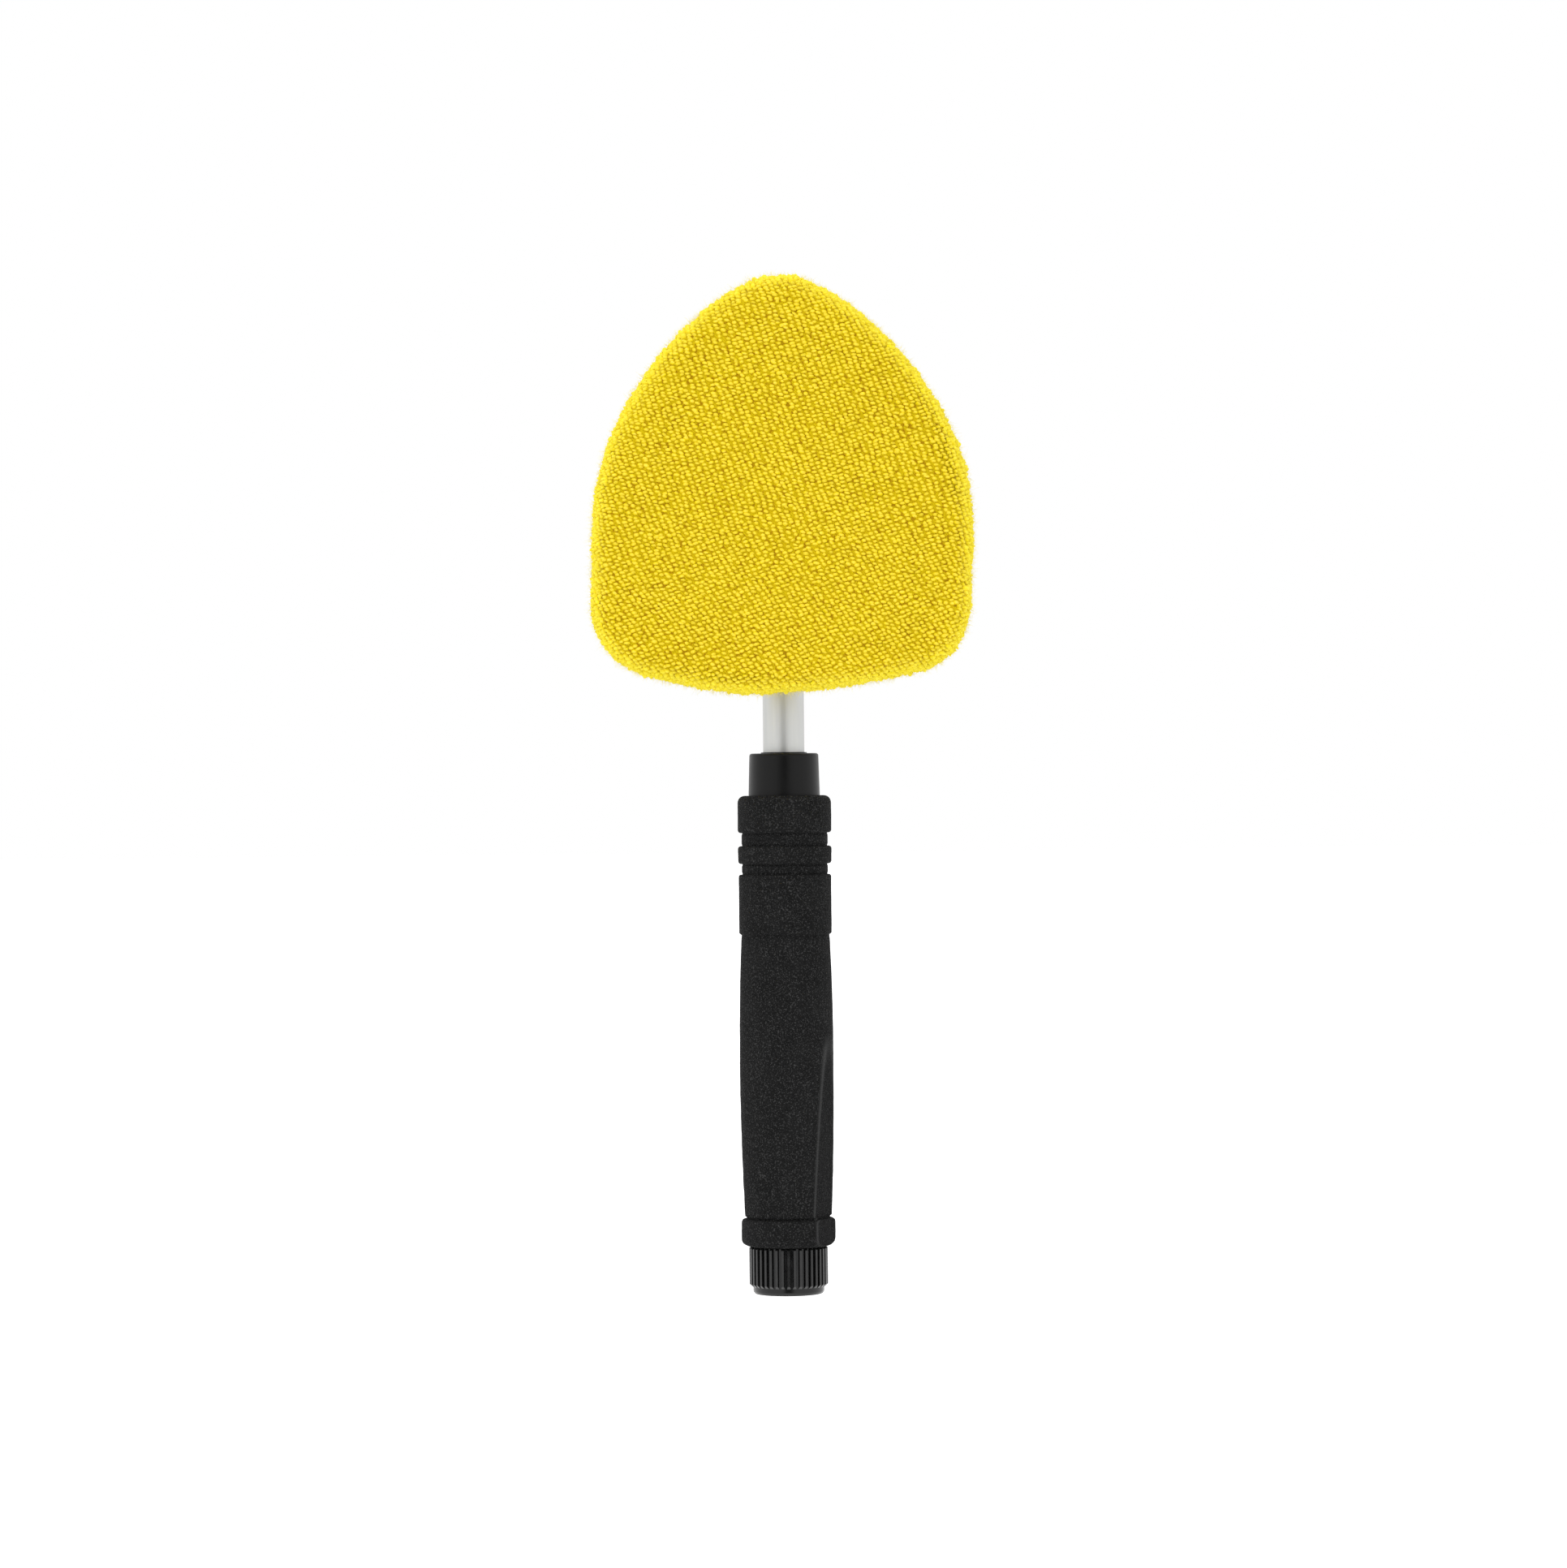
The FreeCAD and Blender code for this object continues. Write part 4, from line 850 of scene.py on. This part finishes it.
def build_loops(name, spots, dressed, rim_light):
    """One mesh of loops standing on spots, each with its own axes, sizes, tone and painted rim
    light.
    """
    normals, along, sizes, tones = dressed
    template, faces = loop_template()
    across = unit(np.cross(normals, along))
    along = np.cross(across, normals)
    count, corners = len(spots), len(template)
    points = (spots[:, None, :]
              + along[:, None, :] * (template[None, :, 0] * sizes[:, 0:1])[:, :, None]
              + across[:, None, :] * (template[None, :, 1] * sizes[:, 1:2])[:, :, None]
              + normals[:, None, :] * (template[None, :, 2] * sizes[:, 2:3])[:, :, None])
    made = mesh_object(name, points.reshape(-1, 3), repeated(faces, corners, count), TERRY)
    colours = np.ones((count, corners, 4), np.float32)
    colours[:, :, 0] = tones[:, None]
    # green: painted shade and light from each loop's top to its foot; blue: its share of the rim's
    # painted light
    colours[:, :, 1] = template[None, :, 3]
    colours[:, :, 2] = rim_light[:, None]
    paint(made, "tone_and_light", colours)
    return made


FUZZ_RADIUS = 0.04
FUZZ_STEPS, FUZZ_SIDES = 3, 3
FUZZ_COUNT = 6
FUZZ_FOOT = 0.7
FUZZ_LENGTH = (0.6, 1.7)


def build_fuzz(name, spots, normals, seed):
    """Loose cotton fibres that stand out of the loops: thin bent threads of three sides."""
    local = np.random.default_rng(seed)
    spots = np.repeat(spots, FUZZ_COUNT, axis=0)
    normals = np.repeat(normals, FUZZ_COUNT, axis=0)
    count = len(spots)
    start = spots + normals * FUZZ_FOOT + local.normal(0, 0.5, (count, 3))
    way = unit(normals + local.normal(0, 0.6, (count, 3)))
    bend = local.normal(0, 0.45, (count, 3))
    side = unit(np.cross(way, local.normal(0, 1.0, (count, 3))))
    top = np.cross(way, side)
    length = local.uniform(*FUZZ_LENGTH, (count, 1))
    rings = []
    for step in range(FUZZ_STEPS + 1):
        share = step / FUZZ_STEPS
        centre = start + (way * share + bend * share ** 2) * length
        size = FUZZ_RADIUS * (1.0 - 0.75 * share)
        for turn in turns(FUZZ_SIDES):
            rings.append(centre + (side * cos(turn) + top * sin(turn)) * size)
    points = np.stack(rings, axis=1)
    faces = repeated(closed_faces(FUZZ_STEPS + 1, FUZZ_SIDES), points.shape[1], count)
    return mesh_object(name, points.reshape(-1, 3), faces, FUZZ)


# below which height the columns lean more, how softly that starts, and by how much
LEAN_BELOW, LEAN_FADE, LEAN_MORE = -22.0, 8.0, 2.5
# how loops stray from their rows: size, length and seed of two waves, and scatter
STRAY_ACROSS = ((0.35, 34.0, 11), (0.07, 9.0, 13), 0.20)
STRAY_UP = ((0.3, 30.0, 12), (0.07, 8.0, 14), 0.15)


def stray(across, up, amounts):
    """How far loops stand out of their rows one way."""
    *waves, scatter = amounts
    drift = sum(size * wave_field(across, up, length, seed) for size, length, seed in waves)
    return drift + rng.normal(0, scatter, across.shape)


def shaken(across, up):
    """Loop places drawn a little out of their rows, with columns that lean more low down."""
    lean = LEAN_MORE * np.log1p(np.exp((LEAN_BELOW - up) / LEAN_FADE))
    x = across + lean + stray(across, up, STRAY_ACROSS)
    return x, up + stray(across, up, STRAY_UP)


FRONT_LATTICE, BACK_LATTICE = (110.0, 118.0), (80.0, 85.0)


def rim_loops(first):
    """Loop places, normals and how far out on the cloth they are, from first outwards."""
    across, up = shaken(*lattice(*FRONT_LATTICE, COLUMN_LEAN))
    away, normal_x, normal_z, bend = FACE.project(across, up)
    section, reach = pad_profile(SUNK)
    outside = np.clip(away, 0, None)
    out, depth, side, front = section(outside)
    shrink = (bend + out) / (bend + outside)
    keep = (away < reach) & (away >= first) & (rng.random(across.shape) < shrink)
    line = np.stack([across, up, normal_x, normal_z], axis=1)[keep]
    moved = (out - outside)[keep]
    away, depth, side, front = [part[keep] for part in (away, depth, side, front)]
    extra = bulge(*beyond(line, moved)) * np.clip(1 + away / FRONT_ROUND, 0, 1)
    normals = outward(line, side, front)
    spots = to_points(*beyond(line, moved + extra), depth)
    return swollen(spots, normals), normals, away


# a loop's half width, half thickness and height on the face
LOOP_WIDE, LOOP_NARROW, LOOP_TALL = 1.03, 0.63, 0.80
LOOP_LIE = -8.0
SMALL_SHARE, SMALL_SIZE = 0.12, 0.80
TALL_LIMITS = (0.4, 2.3)


def dress(spots, normals, fluff):
    """Axes, sizes and tones for loops at spots; fluff from 0 to 1 makes them wilder."""
    count = len(spots)
    x, z = spots[:, 0], spots[:, 2]
    tilt = np.radians(LOOP_LIE + rng.normal(0, 15.0, count) + 5.0 * wave_field(x, z, 20.0, 21))
    along = np.stack([np.cos(tilt), np.zeros(count), np.sin(tilt)], axis=1)
    along -= normals * np.sum(along * normals, axis=1, keepdims=True)
    weak = np.linalg.norm(along, axis=1) < 0.45
    along[weak] = np.cross(normals[weak], (0.0, 0.0, 1.0))
    leaning = unit(normals + rng.normal(0, 1.0, (count, 3)) * (0.14 + 0.2 * fluff)[:, None])
    wide = (LOOP_WIDE - 0.02 * fluff) * (1 + rng.normal(0, 0.10, count))
    wide[rng.random(count) < SMALL_SHARE * (1 - fluff)] *= SMALL_SIZE
    narrow = (LOOP_NARROW + 0.025 * fluff) * (1 + rng.normal(0, 0.11, count))
    tall = LOOP_TALL * (1 + rng.normal(0, 1.0, count) * (0.14 + 0.22 * fluff))
    tufts = 0.42 + 0.3 * wave_field(x, z, 7.0, 35)
    tall = np.clip(tall + tufts * fluff, *TALL_LIMITS)
    tones = np.clip(0.5 + rng.normal(0, 0.18, count) + 0.03 * wave_field(x, z, 20.0, 33), 0, 1)
    return leaning, along, np.stack([wide, narrow, tall], axis=1), tones


# where along the cloth, from the flat face's edge outwards, loops and fibres start
EVERYWHERE, BETWEEN_FROM, FUZZ_FROM = -100.0, 6.0, 3.0
# where the fluff and the rim's lighter colour, a painted light, start, and over what length they
# grow
FLUFF_FROM, FLUFF_LENGTH = 5.0, 5.0
RIM_LIGHT_FROM, RIM_LIGHT_LENGTH = 2.0, 7.0
BACK_FLUFF = 0.3
FOLD_HEIGHT = 0.7
HEM_CLEAR = 2.6


def front_loops():
    """Loops over the face and round the rim, in four meshes by side."""
    spots, normals, away = rim_loops(EVERYWHERE)
    fluff = np.clip((away - FLUFF_FROM) / FLUFF_LENGTH, 0, 1)
    # how much of the rim's lighter colour, a painted light, each loop takes
    rim_light = np.clip((away - RIM_LIGHT_FROM) / RIM_LIGHT_LENGTH, 0, 1)
    dressed = dress(spots, normals, fluff)
    inner = away <= 1.0
    left = spots[:, 0] < 0
    groups = [("terry_face_left", inner & left), ("terry_face_right", inner & ~left),
              ("terry_rim_left", ~inner & left), ("terry_rim_right", ~inner & ~left)]
    return [build_loops(name, spots[group], [part[group] for part in dressed], rim_light[group])
            for name, group in groups]


def back_loops():
    """Loops on the cloth that is turned in behind the plate."""
    across, up = shaken(*lattice(*BACK_LATTICE, -COLUMN_LEAN))
    inside = HEAD.inset(BACK_ROUND - 1.0).project(across, up)[0] < 0
    keep = inside & (MOUTH.project(across, up)[0] > HEM_CLEAR)
    across, up = across[keep], up[keep]
    spots = to_points(across, up, BACK + SUNK - FOLD_HEIGHT * ripple(across, up))
    normals = np.tile([0.0, 1.0, 0.0], (len(spots), 1))
    fluff = np.full(len(spots), BACK_FLUFF)
    # the same share also gives these loops some of the rim's painted light
    return build_loops("terry_back", spots, dress(spots, normals, fluff), fluff)


def make_loops():
    """Terry loops and loose fibres over the face, round the rim and on the turned-in back."""
    made = front_loops()
    spots, normals, _ = rim_loops(BETWEEN_FROM)
    full = np.ones(len(spots))
    # these loops take the rim's full painted light
    made.append(build_loops("terry_rim_between", spots, dress(spots, normals, full), full))
    spots, normals, _ = rim_loops(FUZZ_FROM)
    left = spots[:, 0] < 0
    made.append(build_fuzz("terry_fuzz_left", spots[left], normals[left], 77))
    made.append(build_fuzz("terry_fuzz_right", spots[~left], normals[~left], 78))
    made.append(back_loops())
    return made


def ripple(across, up):
    """Gathers of the turned-in cloth, growing towards the elastic hem."""
    mouth_away = MOUTH.project(across, up)[0]
    head_away = HEAD.project(across, up)[0]
    near_hem = np.clip(1 - mouth_away / np.maximum(mouth_away - head_away, 1e-3), 0, 1)
    angle = np.arctan2(across, up - MIDDLE_UP)
    folds = np.sin(34 * angle + 1.4 * np.sin(5 * angle + 1.0) + 0.8 * np.sin(11 * angle))
    return near_hem ** 1.5 * folds


FACE_ROWS, RIM_ROWS, BACK_ROWS = 29, 22, 13
HEM_LAP = 0.9


def make_ground():
    """Ground cloth of the cover, a closed thin shell with its edge at the hem."""
    edge = beyond(HEAD.walk(RINGS), -BACK_ROUND)
    end = beyond(MOUTH.walk(RINGS), HEM_LAP)
    layers = []
    for sunk in (SUNK, SUNK + CLOTH):
        shares = np.linspace(0.03, 1.0, FACE_ROWS + 1)[:-1]
        rows = [swollen(*row) for row in pad_rows(sunk, RINGS, shares, RIM_ROWS)]
        for share in np.linspace(0, 1, BACK_ROWS + 1)[1:]:
            x, z = edge + (end - edge) * share
            rows.append(to_points(x, z, BACK + sunk - FOLD_HEIGHT * ripple(x, z)))
        layers.append(rows)
    outer, inner = layers
    return closed_shell("bonnet_ground", outer + inner[::-1], GROUND)


HEM_STEPS, HEM_SIDES = 720, 14
HEM_RADIUS, HEM_BORE, PLEAT_DEPTH = 1.62, 1.2, 0.13


def make_roll():
    """Rolled hem round the elastic, gathered into small pleats, most at its back."""
    line = MOUTH.walk(HEM_STEPS)
    share = np.arange(HEM_STEPS) / HEM_STEPS * 2 * pi
    pleats = np.sin(76 * share + 1.6 * np.sin(7 * share) + 0.9 * np.sin(17 * share + 0.6))
    rows = []
    for radius, pleat in ((HEM_RADIUS, PLEAT_DEPTH), (HEM_BORE, 0.0)):
        for turn in turns(HEM_SIDES):
            size = radius + pleat * pleats * (0.6 + 0.4 * sin(turn))
            rows.append(to_points(*beyond(line, size * cos(turn)), HEM_DEPTH - size * sin(turn)))
    faces = grid_faces(HEM_SIDES, HEM_STEPS, close=True)
    faces += grid_faces(HEM_SIDES, HEM_STEPS, first=HEM_SIDES * HEM_STEPS, close=True, flip=True)
    return mesh_object("hem_roll", np.concatenate(rows), faces, HEM)


STITCHES, STITCH_SIDES = 96, 6
STITCH_HALF = 0.95
STITCH_OUT, STITCH_BEHIND = 0.75, 1.45
# share of the half length and radius of each ring of a stitch
STITCH_RINGS = ((-1.0, 0.05), (-0.7, 0.17), (0.0, 0.21), (0.7, 0.17), (1.0, 0.05))


def make_stitches():
    """The row of stitches on the back of the hem."""
    points, faces = [], []
    for x, z, normal_x, normal_z in MOUTH.walk(STITCHES):
        faces += closed_faces(len(STITCH_RINGS), STITCH_SIDES, first=len(points))
        centre = Vector((x + normal_x * STITCH_OUT, STITCH_BEHIND - HEM_DEPTH,
                         z + normal_z * STITCH_OUT + PIN))
        way = Vector((-normal_z, 0.12, normal_x)).normalized()
        side = Vector((normal_x, 0.0, normal_z))
        top = way.cross(side)
        for along, radius in STITCH_RINGS:
            for turn in turns(STITCH_SIDES):
                points.append(tuple(centre + way * along * STITCH_HALF
                                    + (side * cos(turn) + top * sin(turn)) * radius))
    return mesh_object("hem_stitches", points, faces, THREAD)


# Foam pad and foam grip


FOAM_INSET, FOAM_ROUND, FOAM_BACK = 3.3, 4.7, 16.0
FOAM_SWELL = 0.5
# share of the outline and height above the back of each ring behind the foam's side
FOAM_BACK_RINGS = ((1.0, 1.5), (0.997, 0.4), (0.99, 0.0), (0.7, 0.0), (0.4, 0.0), (0.1, 0.0))


def make_pad_foam():
    """Foam between the plate and the cover, with its front edge rounded and its face swollen."""
    front = FRONT - FOAM_INSET
    edge = HEAD.inset(FOAM_INSET + FOAM_ROUND).walk(RINGS)
    rows = [flat_row(edge, share, front) for share in np.linspace(0.04, 1.0, 24)[:-1]]
    for turn in np.linspace(0, pi / 2, 9):
        side, ahead = sin(turn), cos(turn)
        rows.append((to_points(*beyond(edge, FOAM_ROUND * side),
                               front - FOAM_ROUND + FOAM_ROUND * ahead),
                     outward(edge, side, ahead)))
    rows = [swollen(*row, FOAM_SWELL) for row in rows]
    outline = HEAD.inset(FOAM_INSET).walk(RINGS)
    rows += [shrunk(outline, share, FOAM_BACK + rise) for share, rise in FOAM_BACK_RINGS]
    return closed_shell("pad_foam_body", rows, PAD_FOAM)


GRIP_FOOT, GRIP_TOP = 16.3, 168.8
FLANGE_TOP, BARREL_PEAK, BARREL_TOP = 25.6, 84.3, 120.3
BARREL_FOOT_RADIUS, BARREL_PEAK_RADIUS, BARREL_TOP_RADIUS = 14.75, 15.85, 15.0
FLANGE_RADIUS, GROOVE_RADIUS = 15.95, 14.6
STEP_HEIGHT, STEP_RADIUS = 121.6, 14.85
LOW_BAND, LOW_BAND_RADIUS = (122.2, 142.1), 15.7
RING, TOP_BAND_FOOT, BAND_RADIUS = (145.7, 151.7), 156.2, 15.85
BORE_RADIUS, BORE_FOOT, BORE_TOP = 9.55, 30.3, 157.7
SOCKET_RADIUS = 11.05
# farther out than this is the skin
SKIN_FROM = 13.0
GRIP_SEGMENTS = 272
FACETS = (radians(66.0), radians(-108.0))
FACET_FOOT_DEPTH, FACET_TOP = 1.85, 88.0
# the facets' raised edges, which also carry a painted highlight: width, how far in the facet's
# painted shade is full, height and fade
EDGE_WIDTH, EDGE_INSIDE, EDGE_RIDGE, EDGE_FADE = 0.28, 0.3, 0.12, 5.0


def barrel_radius(height):
    """The barrel swells to its peak along one arc from below and another from above."""
    end, size = ((FLANGE_TOP, BARREL_FOOT_RADIUS) if height < BARREL_PEAK
                 else (BARREL_TOP, BARREL_TOP_RADIUS))
    share = (height - BARREL_PEAK) / (end - BARREL_PEAK)
    return BARREL_PEAK_RADIUS - (BARREL_PEAK_RADIUS - size) * share ** 2


def facet_planes(angles, radius, height):
    """How far out the two facets lie at some angles of the skin, up to their top."""
    if radius < SKIN_FROM or height > FACET_TOP:
        return []
    if height > FLANGE_TOP - 0.01:
        foot = BARREL_FOOT_RADIUS - FACET_FOOT_DEPTH
        share = max(0.0, (height - FLANGE_TOP) / (FACET_TOP - FLANGE_TOP))
        flat = foot + (BARREL_PEAK_RADIUS - foot) * share
    else:
        flat = FLANGE_RADIUS - FACET_FOOT_DEPTH
    return [flat / np.maximum(np.cos(angles - facet), 0.3) for facet in FACETS]


def facet_edge(angles, radius, height):
    """One on the facets' edges, falling to zero beside them."""
    total = sum(np.exp(-((plane - radius) / EDGE_WIDTH) ** 2)
                for plane in facet_planes(angles, radius, height))
    return total * min(1.0, max(0.0, (FACET_TOP - height) / EDGE_FADE))


def facet_share(angles, radius, height):
    """One on the facets, zero beside them."""
    return sum(np.clip((radius - plane) / EDGE_INSIDE, 0, 1)
               for plane in facet_planes(angles, radius, height))


def with_facets(angles, ring, height):
    """Flats on two sides of the grip, and the skin's small unevenness."""
    if ring[0] < SKIN_FROM:
        return ring
    ridge = EDGE_RIDGE * facet_edge(angles, ring[0], height)
    for plane in facet_planes(angles, ring[0], height):
        ring = np.minimum(plane, ring)
    ring = ring + ridge
    rough = wave_field(ring * angles, np.full(angles.shape, height), 5.0, 61)
    return ring + 0.025 * rough + rng.normal(0, 0.012, len(angles))


def groove_line(low, high):
    """A groove's floor between two bands, pinched in at both ends."""
    return [(GROOVE_RADIUS - 0.3, low, 0.2), (GROOVE_RADIUS, low + 0.9, 0.3),
            (GROOVE_RADIUS, high - 0.9, 0.3), (GROOVE_RADIUS - 0.3, high, 0.2)]


def make_grip():
    """Moulded foam grip with its bore, turned in small steps."""
    pinch = FLANGE_TOP + 0.5
    barrel = [(barrel_radius(height), height, 0)
              for height in np.linspace(pinch + 0.4, BARREL_TOP, 60)]
    outside = rounded([
        (SOCKET_RADIUS, GRIP_FOOT, 0), (FLANGE_RADIUS, GRIP_FOOT, 2.6),
        (FLANGE_RADIUS, FLANGE_TOP, 1.3), (BARREL_FOOT_RADIUS - 0.7, FLANGE_TOP, 0.2),
        (BARREL_FOOT_RADIUS - 0.7, pinch, 0.15), *barrel, (STEP_RADIUS, STEP_HEIGHT, 0.2),
        (LOW_BAND_RADIUS, LOW_BAND[0], 0.5), (LOW_BAND_RADIUS, LOW_BAND[1], 0.85),
        *groove_line(LOW_BAND[1], RING[0]), (BAND_RADIUS, RING[0], 0.95),
        (BAND_RADIUS, RING[1], 0.95), *groove_line(RING[1], TOP_BAND_FOOT),
        (BAND_RADIUS, TOP_BAND_FOOT, 0.95), (BAND_RADIUS, GRIP_TOP, 2.4),
        (SOCKET_RADIUS, GRIP_TOP, 0)], step=0.55)
    inside = rounded([
        (SOCKET_RADIUS, GRIP_TOP, 0), (SOCKET_RADIUS, BORE_TOP, 0), (BORE_RADIUS, BORE_TOP, 0),
        (BORE_RADIUS, BORE_FOOT, 0), (SOCKET_RADIUS, BORE_FOOT, 0),
        (SOCKET_RADIUS, GRIP_FOOT, 0)], step=6.0)
    profile = outside + inside[1:-1]
    made = lathe("grip_body", profile, GRIP_SEGMENTS, GRIP_FOAM, with_facets)
    angles = turns(GRIP_SEGMENTS)
    # painted light on the skin: red for the highlight along the facets' edges, green for the shade
    # on the facets
    painted_light = np.zeros((len(profile), GRIP_SEGMENTS, 4), np.float32)
    for row, (radius, height) in enumerate(profile):
        painted_light[row, :, 0] = facet_edge(angles, radius, height)
        painted_light[row, :, 1] = facet_share(angles, radius, height)
    paint(made, "painted_light", painted_light)
    return made


ground = make_ground()
loops = make_loops()
hem, stitching = make_roll(), make_stitches()
pad_foam = make_pad_foam()
grip = make_grip()


# Parts whose CAD shape stays


FINISHES = {
    "outer_tube": ALUMINIUM, "inner_tube": ALUMINIUM, "cap_ferrule": FERRULE,
    "guide_collar": COLLAR_BLACK, "guide_bush": NATURAL, "foam_grip": GRIP_FOAM,
    "cap_gasket": GASKET, "end_cap": CAP_BLACK, "lock_dowel": NATURAL,
    "lock_cone": BLACK_INSIDE, "lock_spindle": BLACK_INSIDE, "swivel_knuckle": COLLAR_BLACK,
    "tube_rivet": STEEL, "head_plate": PLATE_BLACK, "foam_pad": PAD_FOAM,
    "bonnet_cover": GROUND, "hem_binding": HEM, "hem_elastic": NATURAL,
    "pivot_bolt": STEEL, "pivot_nut": STEEL, "pivot_washers": NATURAL,
}
for node_name, finish in FINISHES.items():
    for entry in frame["nodes"][node_name].material_slots:
        entry.material = finish


def soften_edges(node_name, width):
    """Small rounds on a moulded or turned piece's sharp edges, which catch the light."""
    bevel = frame["nodes"][node_name].modifiers.new("edge_rounds", "BEVEL")
    bevel.width = width * MM
    bevel.segments = 2
    bevel.limit_method = "ANGLE"
    bevel.angle_limit = radians(40)


for node_name in ("end_cap", "head_plate", "swivel_knuckle", "pivot_nut", "pivot_bolt"):
    soften_edges(node_name, 0.1)

# the own mesh of each soft piece, the solid it stands for and the body it moves with
OWN = [(ground, "bonnet_cover", "head"), (hem, "hem_binding", "head"),
       (pad_foam, "foam_pad", "head"), (grip, "foam_grip", "handle")]
for piece, node_name, body in OWN:
    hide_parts(node_name)
    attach(piece, body)
for piece in loops:
    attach(piece, "head")
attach(stitching, "head")
